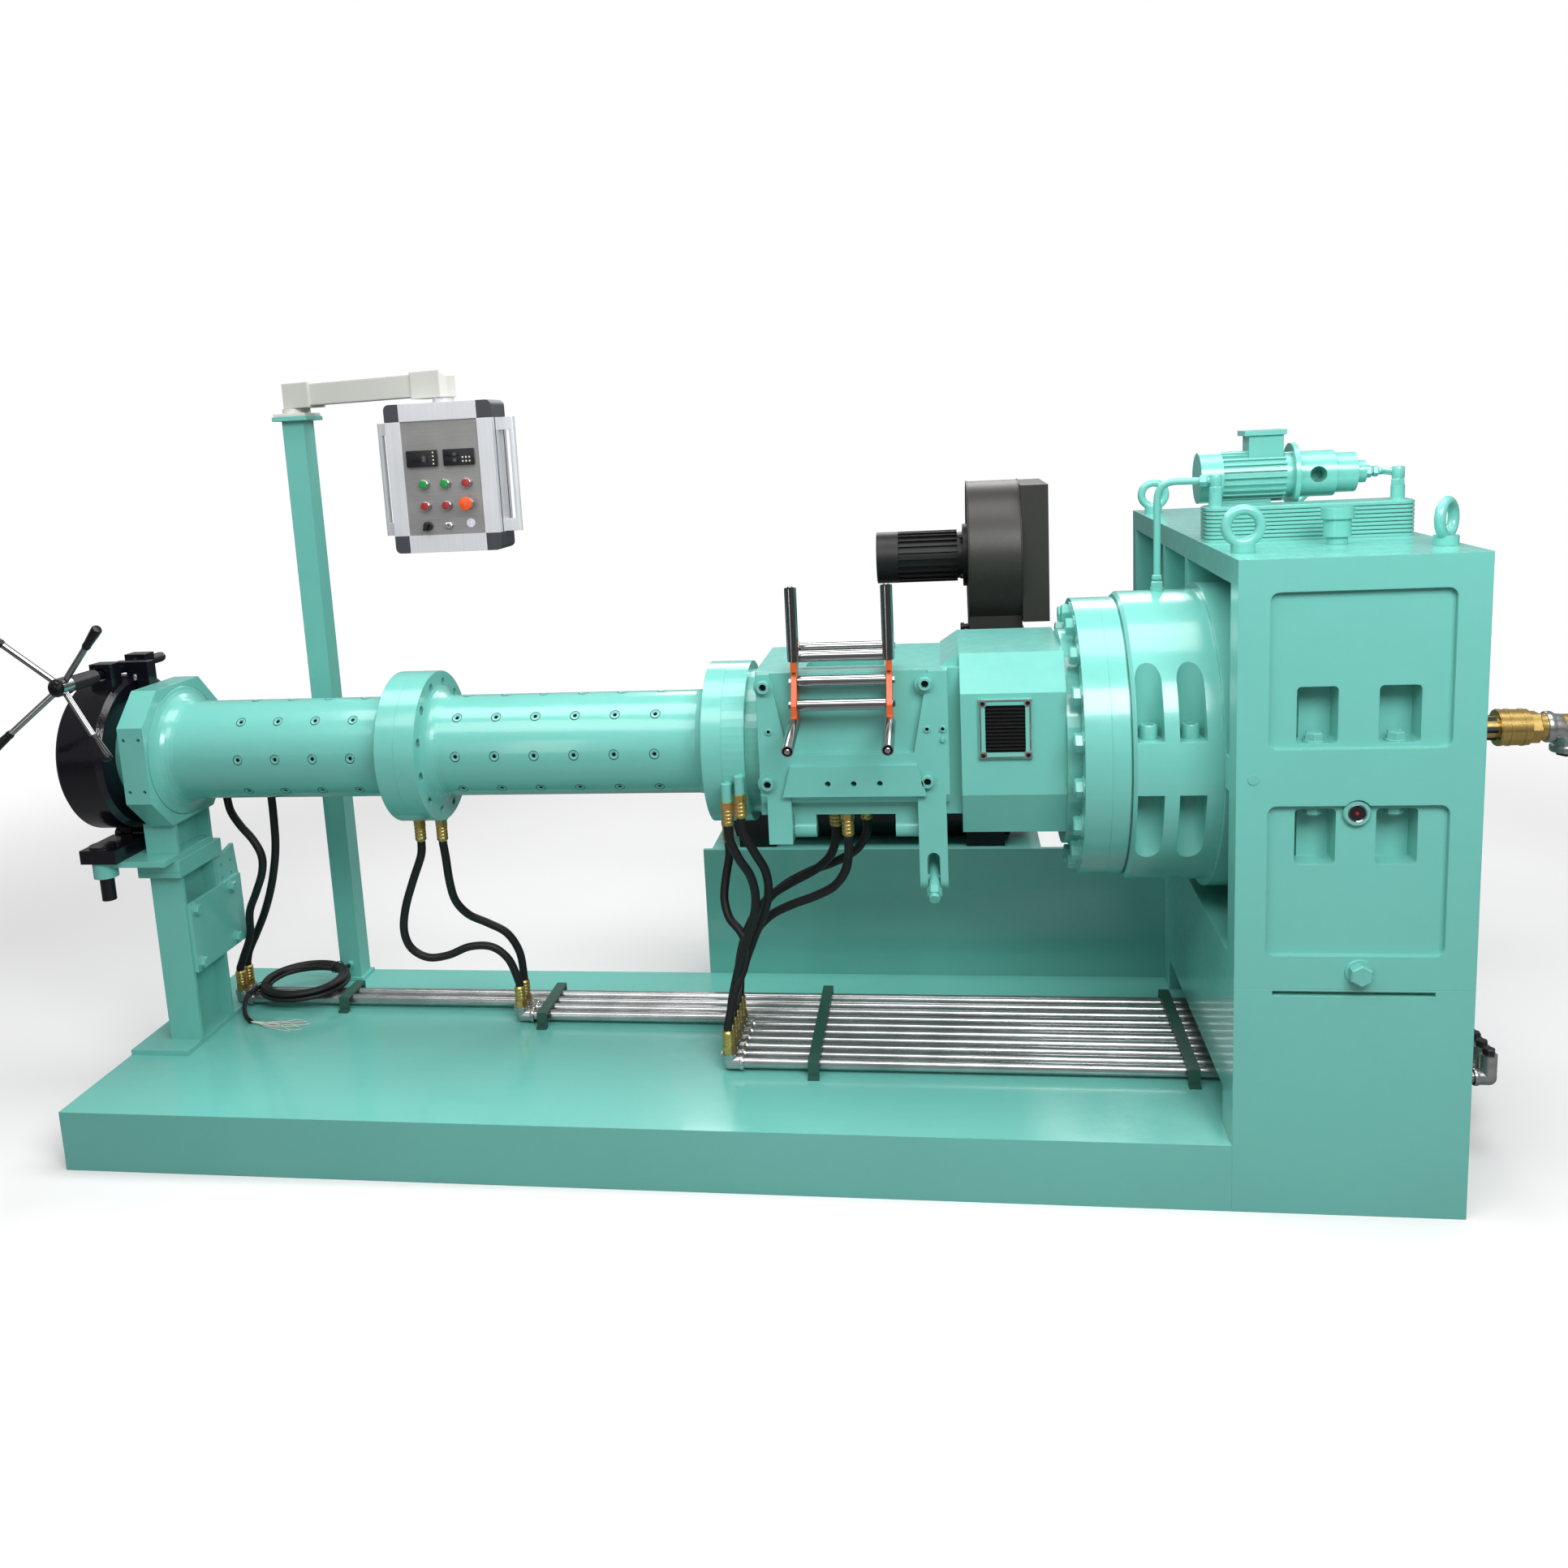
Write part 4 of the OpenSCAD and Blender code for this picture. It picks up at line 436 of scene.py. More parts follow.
@dataclass(frozen=True)
class DrawnMetal(Finish):
    """Bare metal with lines along one direction."""

    stretch: Triple = (0.02, 1.0, 1.0)

    STAIN = 9.0
    LINE_SHARES = (0.6, 0.4)
    WEAR = (0.6, 1.4)

    def paint(self, graph: Graph) -> None:
        """Feeds the surface shader.

        Args:
            graph: The material's graph.
        """
        lines, stain = graph.noise(self.grain, 3.0, self.stretch), graph.noise(self.STAIN, 4.0)
        drawn, dull = self.LINE_SHARES
        graph.cover({"Base Color": graph.colour(lines * 0.5 + stain * 0.5, *self.shades(2.0)),
                     "Roughness": self.worn(graph, lines * drawn + stain * dull),
                     "Normal": graph.relief(lines, self.depth, self.edge)})


@dataclass(frozen=True)
class GlowingFinish(Finish):
    """A coloured face with a faint glow: the pilot lamps' and meter screens' own light, and painted light on
    the stop button, the blank plug and the sight glass.
    """

    glow: float = 0.4

    SPECKS = 220.0
    TINTS = (0.8, 1.2)

    def paint(self, graph: Graph) -> None:
        """Feeds the surface shader.

        Args:
            graph: The material's graph.
        """
        ends = (tint(self.colour, share) for share in self.TINTS)
        shade = graph.colour(graph.noise(self.SPECKS, 1.0), *ends)
        # The glow is the pilot lamps' own light, and painted light where it stands on parts that are no
        # lamps.
        graph.cover({"Base Color": shade, "Emission Color": shade, "Emission Strength": self.glow,
                     "Roughness": self.rough})


class Skin(Enum):
    """The finishes in use."""

    PAINT = MachinePaint("mint_paint", "paint", (0.156, 0.50, 0.44), rough=0.2, coat=0.3, mottle=0.05,
                         grain=26.0, depth=0.0005, edge=0.0025)
    BOLT_PAINT = MachinePaint("mint_bolt_paint", "paint", (0.148, 0.475, 0.418), rough=0.24, coat=0.3,
                              mottle=0.06, edge=0.001)
    ENAMEL = MachinePaint("black_enamel", "enamel", (0.005, 0.005, 0.009), rough=0.12, mottle=0.3, grain=40.0,
                          depth=0.0008, edge=0.003, gloss=0.45)
    MOTOR = Finish("motor_black", "enamel", (0.009, 0.009, 0.0095), rough=0.42, mottle=0.2, grain=300.0,
                   edge=0.0015, gloss=0.3)
    BLOWER = Finish("blower_grey", "blower_grey", (0.026, 0.024, 0.021), rough=0.38, mottle=0.1, grain=420.0,
                    depth=0.0004, edge=0.002, gloss=0.4)
    CORNER = Finish("corner_grey", "blower_grey", (0.045, 0.048, 0.056), rough=0.5, mottle=0.06, grain=500.0,
                    edge=0.002)
    STEEL = DrawnMetal("polished_steel", "steel", (0.40, 0.405, 0.41), rough=0.14, metal=1.0, mottle=0.1,
                       grain=260.0, depth=0.00006)
    PIPE = DrawnMetal("galvanised_pipe", "steel", (0.50, 0.51, 0.51), rough=0.26, metal=0.9, mottle=0.2,
                      grain=70.0)
    BRASS = DrawnMetal("brass", "brass", (0.62, 0.43, 0.14), rough=0.28, metal=0.85, mottle=0.16, grain=150.0,
                       depth=0.00015, edge=0.001)
    ORANGE = MachinePaint("orange_paint", "orange", (0.60, 0.095, 0.018), rough=0.34, coat=0.2, grain=90.0,
                          depth=0.0003, edge=0.001)
    STRAP = Finish("strap_green", "clamp_green", (0.022, 0.085, 0.062), rough=0.5, mottle=0.1, grain=200.0,
                   edge=0.001)
    RUBBER = Finish("black_rubber", "rubber", (0.009, 0.009, 0.0095), rough=0.46, mottle=0.2, grain=420.0,
                    depth=0.0004, gloss=0.3)
    GRIP = Finish("grip_black", "rubber", (0.007, 0.007, 0.008), rough=0.22, mottle=0.1, grain=200.0,
                  depth=0.0001, gloss=0.35)
    ARM = Finish("arm_grey", "arm_grey", (0.62, 0.63, 0.585), rough=0.34, coat=0.15, mottle=0.04, grain=300.0,
                 depth=0.0001, edge=0.006)
    ALLOY = DrawnMetal("anodised_alloy", "alloy", (0.70, 0.71, 0.74), rough=0.42, metal=0.3, mottle=0.05,
                       grain=200.0, depth=0.00005, edge=0.002, stretch=(1.0, 1.0, 0.02))
    PANEL = DrawnMetal("brushed_panel", "steel", (0.34, 0.34, 0.335), rough=0.34, metal=0.5, mottle=0.16,
                       grain=900.0, depth=0.00006, stretch=(0.01, 1.0, 1.0))
    BLACK = Finish("instrument_black", "enamel", (0.010, 0.010, 0.012), rough=0.34, mottle=0.1, grain=300.0,
                   depth=0.0001)
    # Near-black matte that is painted shade: set in hex socket holes, round the barrel pins, on the rollers'
    # ends and in the vent's opening.
    PAINTED_SHADE = Finish("painted_recess_shade", "enamel", (0.004, 0.004, 0.004), rough=0.7, mottle=0.1, grain=200.0,
                  depth=0.0001, gloss=0.1)
    WIRE = Finish("white_wire", "arm_grey", (0.70, 0.68, 0.60), rough=0.5, grain=300.0, depth=0.0001)
    GREEN_LAMP = GlowingFinish("green_lens", "paint", (0.01, 0.27, 0.045), rough=0.2, glow=0.08)
    # Red pilot lamps and the sight glass's mark; on the mark the glow is painted light.
    RED_GLOW = GlowingFinish("red_lens", "orange", (0.34, 0.022, 0.024), rough=0.2, glow=0.08)
    # The blank plug's glow is painted light.
    WHITE_GLOW = GlowingFinish("white_lens", "arm_grey", (0.62, 0.60, 0.68), rough=0.25, glow=0.05)
    # The stop button's glow is painted light.
    STOP = GlowingFinish("orange_stop", "orange", (0.78, 0.10, 0.02), rough=0.32, glow=0.05)
    # Meter screens and the sight glass's lens; on the lens the glow is painted light.
    DIGIT = GlowingFinish("screen", "enamel", (0.012, 0.013, 0.015), rough=0.15, glow=0.02)


@functools.lru_cache(maxsize=None)
def material_of(skin: Skin) -> bpy.types.Material:
    """Makes a finish's material once and hands it out."""
    return skin.value.build()


class Forge:
    """Builds one mesh piece from turned, drawn-out and swept shapes, and finishes it as its block ends."""

    SHARP = math.radians(32.0)
    RING_SIDES = 10
    PARALLEL = 1e-4
    EASE_ROUND = 0.6
    WASHER_UP_SHARE = 0.22
    WASHER_WIDE_SHARE = 0.68
    WASHER_EDGE_SHARES = (0.95, 0.7)
    HEX_EDGE_SHARES = (0.86, 0.16)
    CAP_EDGE_SHARES = (0.9, 0.88)
    CAP_KEY_SHARES = (0.56, 0.45)

    def __init__(self, name: str, skin: Skin, body: str = MACHINE) -> None:
        """Starts an empty piece.

        Args:
            name: The piece's name.
            skin: Its finish.
            body: The body that it moves with.
        """
        self.name = name
        self.skin = skin
        self.body = body
        self.bm = bmesh.new()

    def __enter__(self) -> "Forge":
        """Opens the piece for its shapes."""
        return self

    def __exit__(self, *trouble: object) -> None:
        """Finishes the piece and puts it on its body.

        Args:
            trouble: What stopped the block, if anything did; not used.
        """
        bmesh.ops.recalc_face_normals(self.bm, faces=self.bm.faces)
        for face in self.bm.faces:
            face.smooth = True
        for edge in self.bm.edges:
            edge.smooth = len(edge.link_faces) == 2 and edge.calc_face_angle(0.0) < self.SHARP
        mesh = bpy.data.meshes.new(self.name)
        self.bm.to_mesh(mesh)
        self.bm.free()
        mesh.materials.append(material_of(self.skin))
        self.piece = put(self.name, mesh)
        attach(self.piece, self.body)
        LOG.info("%s: %d faces on %s", self.name, len(mesh.polygons), self.body)

    def turned(self, profile: Profile, at: Matrix, sides: int = 32, band: bool = False) -> None:
        """Adds a solid of revolution about its frame's Z, closed to the axis at both ends.

        Args:
            profile: Radius and height pairs from the bottom to the top.
            at: Frame of the piece.
            sides: Number of sides.
            band: Whether the ends stay as the profile leaves them, as on a band round something.
        """
        foot, head = ([(0.0, z)] if r > 0.0 and not band else [] for r, z in (profile[0], profile[-1]))
        rings: list[list[bmesh.types.BMVert]] = []
        for radius, height in (*foot, *profile, *head):
            turns = angles(sides) if radius > 0.0 else [0.0]
            points = (Vector((radius * math.cos(a), radius * math.sin(a), height)) for a in turns)
            rings.append([self.bm.verts.new(at @ point) for point in points])
        for low, high in zip(rings, rings[1:]):
            self._bridge(low, high)

    def _bridge(self, low: list, high: list) -> None:
        """Closes the band between two rings of points.

        Args:
            low: First ring, or one point.
            high: Second ring, or one point.
        """
        count = max(len(low), len(high))
        if count == 1:
            return
        for k in range(count):
            n = (k + 1) % count
            if len(low) == 1:
                self.bm.faces.new((low[0], high[n], high[k]))
            elif len(high) == 1:
                self.bm.faces.new((low[k], low[n], high[0]))
            else:
                self.bm.faces.new((low[k], low[n], high[n], high[k]))

    def block(self, size: Sequence[float], at: Matrix, ease: float = 0.0) -> None:
        """Adds a block with eased edges, centred on its frame.

        Args:
            size: Its three sizes.
            at: Its frame.
            ease: Width of the eased edges.
        """
        made = bmesh.ops.create_cube(self.bm, size=1.0, matrix=at @ Matrix.Diagonal((*size, 1.0)))
        if ease > 0.0:
            edges = list({e for v in made["verts"] for e in v.link_edges})
            bmesh.ops.bevel(self.bm, geom=edges, offset=ease, segments=2, affect="EDGES",
                            profile=self.EASE_ROUND)

    def prism(self, outline: Profile, depth: float, at: Matrix) -> None:
        """Adds an outline in X and Z drawn out along Y, half to each side.

        Args:
            outline: Its points in order.
            depth: Its size along Y.
            at: Its frame.
        """
        near, far = ([self.bm.verts.new(at @ Vector((x, y, z))) for x, z in outline]
                     for y in (-depth / 2.0, depth / 2.0))
        self._bridge(near, far)
        self.bm.faces.new(list(reversed(near)))
        self.bm.faces.new(far)

    def tube(self, path: Sequence[Vector], radius: float, sides: int) -> None:
        """Adds a round tube along a path, closed at both ends.

        Args:
            path: Its centreline.
            radius: Its radius.
            sides: Sides of its section.
        """
        rings = []
        side = Vector(Axis.UP.value)
        last = len(path) - 1
        for i, point in enumerate(path):
            along = (path[min(i + 1, last)] - path[max(i - 1, 0)]).normalized()
            side = side - along * side.dot(along)
            if side.length < self.PARALLEL:
                side = along.orthogonal()
            side.normalize()
            other = along.cross(side)
            rings.append([self.bm.verts.new(point + (side * math.cos(a) + other * math.sin(a)) * radius)
                          for a in angles(sides)])
        for low, high in zip(rings, rings[1:]):
            self._bridge(low, high)
        self.bm.faces.new(list(reversed(rings[0])))
        self.bm.faces.new(rings[-1])

    def ring(self, radius: float, wire: float, at: Matrix, sides: int) -> None:
        """Adds a round ring about its frame's Z.

        Args:
            radius: Radius of the ring's middle.
            wire: Radius of its section.
            at: Its frame.
            sides: Sides around it.
        """
        turns = [*angles(sides), FULL_TURN]
        path = [at @ Vector((radius * math.cos(a), radius * math.sin(a), 0.0)) for a in turns]
        self.tube(path, wire, self.RING_SIDES)

    def hex_bolt(self, across: float, height: float, at: Matrix, washer: bool = True) -> None:
        """Adds a hex head on its washer.

        Args:
            across: Width across the flats.
            height: Height of the head.
            at: Frame on the seat, with Z out of it.
            washer: Whether a washer lies under it.
        """
        foot = 0.0
        if washer:
            foot = height * self.WASHER_UP_SHARE
            disc = across * self.WASHER_WIDE_SHARE
            inner, edge = self.WASHER_EDGE_SHARES
            self.turned(((disc, 0.0), (disc, foot * edge), (disc * inner, foot)), at, 24)
        corner = across / math.sqrt(3.0)
        top = foot + height
        inner, edge = self.HEX_EDGE_SHARES
        self.turned(((corner, foot), (corner, top - height * edge), (corner * inner, top)), at, 6)

    def socket_bolt(self, radius: float, height: float, at: Matrix) -> None:
        """Adds a cap screw with a socket.

        Args:
            radius: Radius of the head.
            height: Height of the head.
            at: Frame on the seat, with Z out of it.
        """
        (inner, edge), (key, floor) = ((radius * wide, height * up)
                                       for wide, up in (self.CAP_EDGE_SHARES, self.CAP_KEY_SHARES))
        self.turned(((radius, 0.0), (radius, edge), (inner, height), (key, height), (key, floor)), at, 24)


@dataclass
class Station:
    """Box of a node, with the places that dressing starts from."""

    node: str
    low: Vector = field(init=False)
    high: Vector = field(init=False)

    def __post_init__(self) -> None:
        """Reads the box from the frame."""
        low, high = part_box(self.node)
        self.low, self.high = Vector(low), Vector(high)

    @property
    def middle(self) -> Vector:
        """Middle of the box."""
        return (self.low + self.high) / 2.0

    @property
    def size(self) -> Vector:
        """Sizes of the box."""
        return self.high - self.low


@dataclass
class Studio:
    """Camera at the photograph's view, soft lights and a pale floor."""

    place: Triple = (0.6301, -3.8646, 1.8982)
    yaw: float = math.radians(-8.876)
    pitch: float = math.radians(9.682)
    roll: float = math.radians(-3.013)
    lens: float = 30.57
    sensor: float = 36.0
    sight: float = 200.0
    shift: tuple[float, float] = (0.0264, -0.0804)
    floor_half: float = 60.0
    floor_bounce: float = 0.28
    floor_shades: tuple[Colour, Colour] = ((0.82, 0.82, 0.82), (0.86, 0.86, 0.86))
    floor_fade: tuple[float, float] = (2.6, 6.0)
    floor_patches: float = 0.8
    floor_rough: float = 0.8
    floor_gloss: float = 0.1
    sky: float = 0.28
    # Name, place, what it faces, width and height in metres, and power in watts.
    lamps: tuple = (
        ("key", (-0.9, -3.2, 4.4), (0.0, 0.0, 1.2), (3.6, 1.6), 74.0),
        ("fill", (1.9, -3.3, 3.5), (1.2, 0.0, 1.3), (2.2, 1.4), 122.0),
        ("top", (0.3, -0.3, 4.6), (0.3, -0.1, 0.0), (6.0, 1.8), 156.0),
        ("back", (0.6, 4.2, 4.0), (0.2, 0.3, 0.9), (4.0, 1.6), 100.0),
        ("strip", (-2.1, -5.6, 1.7), (0.0, -0.5, 1.3), (0.5, 2.6), 14.0),
    )

    def build(self) -> None:
        """Makes the camera, the lights, the world and the floor."""
        self._camera()
        for name, place, target, (width, height), power in self.lamps:
            data = bpy.data.lights.new(name, "AREA")
            data.shape = "RECTANGLE"
            data.size, data.size_y, data.energy = width, height, power
            put(name, data).matrix_world = toward(Vector(place), Vector(place) - Vector(target))
        self._world()
        bpy.context.scene.view_settings.view_transform = "Standard"
        self._floor()

    def _seen(self, graph: Graph) -> Sock:
        """Gives 1 for what the camera sees, straight or through a lens, and 0 for what only lights."""
        straight, through = (graph.make("ShaderNodeLightPath", {}, output=f"Is {kind} Ray")
                             for kind in ("Camera", "Transmission"))
        return straight + through

    def _world(self) -> None:
        """Makes a white world that lights the machine at a plain level."""
        world = bpy.data.worlds.new("studio")
        world.use_nodes = True
        graph = Graph("studio", world.node_tree)
        soft, white = (graph.make("ShaderNodeBackground", {"Color": WHITE, "Strength": strength})
                       for strength in (self.sky, 1.0))
        both = graph.make("ShaderNodeMixShader", {0: self._seen(graph), 1: soft, 2: white})
        graph.feed(world.node_tree.nodes["World Output"].inputs["Surface"], both)
        bpy.context.scene.world = world

    def _camera(self) -> None:
        """Sets the camera at the photograph's view."""
        ahead = Vector((math.sin(self.yaw) * math.cos(self.pitch), math.cos(self.yaw) * math.cos(self.pitch),
                        -math.sin(self.pitch)))
        level = Vector((math.cos(self.yaw), -math.sin(self.yaw), 0.0))
        rise = level.cross(ahead)
        right = level * math.cos(self.roll) + rise * math.sin(self.roll)
        up = rise * math.cos(self.roll) - level * math.sin(self.roll)
        data = bpy.data.cameras.new("camera")
        data.lens, data.sensor_width, data.clip_end = self.lens, self.sensor, self.sight
        data.shift_x, data.shift_y = self.shift
        camera = put("camera", data)
        turn = Matrix((right, up, -ahead)).transposed().to_4x4()
        camera.matrix_world = Matrix.Translation(self.place) @ turn
        bpy.context.scene.camera = camera

    def _floor(self) -> None:
        """Lays the pale floor, which goes over into the white backdrop far out."""
        mesh = bpy.data.meshes.new("floor")
        half = self.floor_half
        edges = [(-half, -half, 0.0), (half, -half, 0.0), (half, half, 0.0), (-half, half, 0.0)]
        mesh.from_pydata(edges, [], [(0, 1, 2, 3)])
        graph = Graph("pale_floor")
        shade = graph.colour(graph.noise(self.floor_patches, 2.0), *self.floor_shades)
        bounce = self._seen(graph) * (1.0 - self.floor_bounce) + self.floor_bounce
        graph.cover({"Base Color": shade * bounce, "Roughness": self.floor_rough,
                     "Specular IOR Level": self.floor_gloss})
        reach = graph.make("ShaderNodeVectorMath", {0: graph.place()}, {"operation": "LENGTH"}, "Value")
        near, end = self.floor_fade
        far = graph.make("ShaderNodeMapRange", {"Value": reach, "From Min": near, "From Max": end},
                         {"interpolation_type": "SMOOTHSTEP"})
        white = graph.make("ShaderNodeEmission", {"Color": WHITE, "Strength": 1.0})
        lit = Sock(graph, graph.surface.outputs["BSDF"])
        both = graph.make("ShaderNodeMixShader", {0: far * self._seen(graph), 1: lit, 2: white})
        graph.feed(graph.tree.nodes["Material Output"].inputs["Surface"], both)
        mesh.materials.append(graph.material)
        floor = put("floor", mesh)


@dataclass
class WaterHoses:
    """Ten rubber hoses from the barrel and feed section to the pipes on the deck."""

    radius: float = 0.012
    stub: float = 0.012
    steps: int = 5
    sides: int = 14
    crimps: int = 4
    crimp_pitch: float = 0.010
    ferrule: float = 0.042
    ferrule_lap: float = 0.004
    ferrule_shares: tuple = (1.34, 1.24, 1.02)
    crimp: tuple = (0.001, 0.006, 0.008)
    routes: tuple = (
        ((232, 623, 884), (242, 618, 832), (272, 610, 790), (312, 604, 745), (334, 603, 695), (326, 608, 640),
         (292, 620, 572), (250, 642, 500), (222, 676, 410), (184, 690, 335), (165, 692, 282)),
        ((377, 623, 884), (376, 625, 832), (373, 628, 780), (368, 632, 728), (354, 640, 665), (320, 662, 575),
         (270, 694, 480), (220, 718, 400), (178, 736, 335), (165, 738, 282)),
        ((894, 503, 776), (888, 504, 725), (852, 512, 645), (818, 520, 560), (802, 530, 485), (816, 538, 428),
         (862, 548, 395), (922, 560, 398), (985, 572, 420), (1050, 584, 415), (1096, 594, 370),
         (1120, 600, 282)),
        ((960, 503, 776), (962, 508, 720), (960, 525, 640), (963, 550, 572), (988, 580, 518),
         (1036, 605, 482), (1086, 625, 442), (1115, 640, 375), (1120, 646, 282)),
        ((1800, 503, 770), (1800, 500, 722), (1790, 486, 668), (1786, 462, 612), (1802, 435, 566),
         (1836, 405, 538), (1855, 385, 498), (1846, 365, 446), (1822, 345, 388), (1800, 324, 282)),
        ((1843, 262, 890), (1845, 264, 845), (1865, 275, 790), (1890, 295, 735), (1898, 310, 670),
         (1885, 325, 600), (1855, 340, 520), (1828, 355, 430), (1808, 367, 350), (1800, 370, 282)),
        ((1878, 262, 910), (1882, 266, 865), (1905, 285, 805), (1928, 310, 745), (1930, 335, 680),
         (1912, 358, 610), (1875, 380, 525), (1838, 400, 430), (1810, 413, 350), (1800, 416, 282)),
        ((2150, 330, 839), (2149, 333, 790), (2138, 345, 735), (2105, 362, 685), (2050, 380, 650),
         (1985, 397, 620), (1925, 412, 585), (1880, 428, 535), (1845, 442, 465), (1818, 455, 385),
         (1800, 462, 282)),
        ((2110, 420, 839), (2108, 424, 795), (2090, 436, 745), (2045, 450, 700), (1980, 465, 660),
         (1915, 478, 615), (1865, 490, 555), (1830, 500, 480), (1808, 506, 390), (1800, 508, 282)),
        ((2190, 480, 839), (2188, 484, 795), (2160, 496, 745), (2100, 510, 705), (2020, 522, 670),
         (1945, 533, 625), (1885, 543, 565), (1842, 550, 490), (1812, 553, 400), (1800, 554, 282)),
    )

    def build(self) -> None:
        """Makes each hose as a tube with crimped ferrules at its ends."""
        drop = Vector((0.0, 0.0, self.stub))
        for number, route in enumerate(self.routes, 1):
            top, *between, foot = (spot(place) for place in route)
            path = [top, *smooth_route([top - drop, *between, foot + drop], self.steps), foot]
            with Forge(f"water_hose_{number}", Skin.RUBBER) as forge:
                forge.tube(path, self.radius, self.sides)
            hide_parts("water_hoses")
            length_of(path)
            self._ferrules(number, path)

    def _ferrules(self, number: int, path: Sequence[Vector]) -> None:
        """Crimps a ferrule on both ends of a hose.

        Args:
            number: Number of the hose.
            path: Its centreline.
        """
        wide, neck, mouth = (self.radius * share for share in self.ferrule_shares)
        first, flat, dip = self.crimp
        profile = [(mouth, -self.ferrule_lap)]
        for step in range(self.crimps):
            z = first + step * self.crimp_pitch
            profile += [(wide, z), (wide, z + flat), (neck, z + dip)]
        profile.append((0.0, self.ferrule))
        with Forge(f"hose_ferrules_{number}", Skin.BRASS) as forge:
            for end, inner in ((path[0], path[1]), (path[-1], path[-2])):
                forge.turned(profile, toward(end, (end - inner).normalized()), 20, True)


@dataclass
class CableCoil:
    """Spare cable: from the post's gland into a coil on the pipes, with a bare end on the deck."""

    radius: float = 0.007
    middle: tuple = (352, 745)
    radii: tuple = (139, 111)
    levels: tuple = (239.0, 222.0)
    turns: int = 3
    cuts: int = 24
    last_turn: float = 0.45
    fall: tuple = (0.46, 0.08)
    wander: float = 1.2
    wander_waves: float = 3.0
    wander_drift: float = 9.0
    gland: tuple = (440, 878, 225)
    lead_bend: float = 34.0
    lead_cuts: int = 4
    lead_rise: float = 1.2
    lead_joins: int = 3
    ease_in: float = 52.0
    ease_cuts: int = 20
    ease_drop: float = 9.0
    tail: tuple = ((205, 668, 222), (206, 632, 211), (218, 600, 197), (238, 572, 185), (264, 552, 178.5))
    start_turn: float = math.radians(40.0)
    tie_turns: tuple = (math.radians(62.0), math.radians(205.0))
    tie_at: tuple = (125.0, 230.5)
    tie_loop: tuple = (0.0245, 0.0175)
    tie_r: float = 0.0014
    wire_count: int = 7
    wire_spread: float = 9.0
    wire_reach: tuple = (150.0, 48.0)
    wire_bend: float = 16.0
    wire_sway: float = 1.9
    wire_r: float = 0.0013

    def _turns(self) -> list[Triple]:
        """Works out the coil: three turns inward on top, then three outward below.

        Returns:
            Points in millimetres from the corner.
        """
        points = []
        x, y = self.middle
        outer, inner = self.radii
        top, bottom = self.levels
        count = 2 * self.turns * self.cuts + int(self.cuts * self.last_turn)
        for k in range(count + 1):
            share = k / count
            angle = self.start_turn + FULL_TURN * k / self.cuts
            inward = abs(share - 0.5) * 2.0
            ease = max(0.0, 1.0 - k / self.ease_cuts) ** 2
            radius = inner + (outer - inner) * inward - self.ease_in * ease
            fall = min(max((share - self.fall[0]) / self.fall[1], 0.0), 1.0)
            level = top + (bottom - top) * fall * fall * (3.0 - 2.0 * fall) - self.ease_drop * ease
            radius += self.wander * math.sin(self.wander_waves * angle + self.wander_drift * share)
            points.append((x + radius * math.cos(angle), y + radius * math.sin(angle), level))
        return points

    def _lead(self) -> list[Triple]:
        """Bends the cable out of its gland and round into the coil.

        Returns:
            Points in millimetres from the corner.
        """
        x, y, z = self.gland
        bend = self.lead_bend
        turns = [QUARTER_TURN * k / self.lead_cuts for k in range(self.lead_cuts + 1)]
        return [(x - bend * (1.0 - math.cos(a)), y - bend * math.sin(a), z + self.lead_rise * k)
                for k, a in enumerate(turns)]

    def build(self) -> None:
        """Makes the cable, its ties and the bare wires."""
        hand = [*self._lead(), *self._turns()[self.lead_joins:], *self.tail]
        path = smooth_route([spot(place) for place in hand], 3)
        with Forge("spare_cable", Skin.RUBBER) as forge:
            forge.tube(path, self.radius, 10)
        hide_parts("cable_coil", "cable_ends")
        pieces = [self._ties(), self._wires()]
        length_of(path)

    def _ties(self) -> bpy.types.Object:
        """Binds the coil with two ties.

        Returns:
            The piece.
        """
        out, level = self.tie_at
        wide, high = self.tie_loop
        with Forge("coil_tie", Skin.BLACK) as forge:
            for turn in self.tie_turns:
                across = Vector((math.cos(turn), math.sin(turn), 0.0))
                middle = spot((self.middle[0] + out * across.x, self.middle[1] + out * across.y, level))
                loop = [middle + across * (wide * math.cos(a)) + Vector((0.0, 0.0, high * math.sin(a)))
                        for a in (*angles(20), FULL_TURN)]
                forge.tube(loop, self.tie_r, 6)
        return forge.piece

    def _wires(self) -> bpy.types.Object:
        """Fans the bare cores out of the cable's end.

        Returns:
            The piece.
        """
        end = self.tail[-1]
        count = self.wire_count
        with Forge("bare_wires", Skin.WIRE) as forge:
            for k in range(count):
                spread = (k - (count - 1) / 2.0) * self.wire_spread
                reach = self.wire_reach[0] + self.wire_reach[1] * ((k * 5) % count) / count
                bend = self.wire_bend * math.sin(self.wire_sway * k)
                hand = (end, (300, 548 + spread * 0.25, 176.0),
                        (end[0] + reach * 0.5, 546 + spread * 0.8 + bend, 173.0),
                        (end[0] + reach * 0.8, 543 + spread * 1.2 - bend * 0.5, 172.0),
                        (end[0] + reach, 541 + spread * 1.3, 172.0 + (k % 3) * 2.0))
                forge.tube(smooth_route([spot(place) for place in hand], 6), self.wire_r, 6)
        return forge.piece


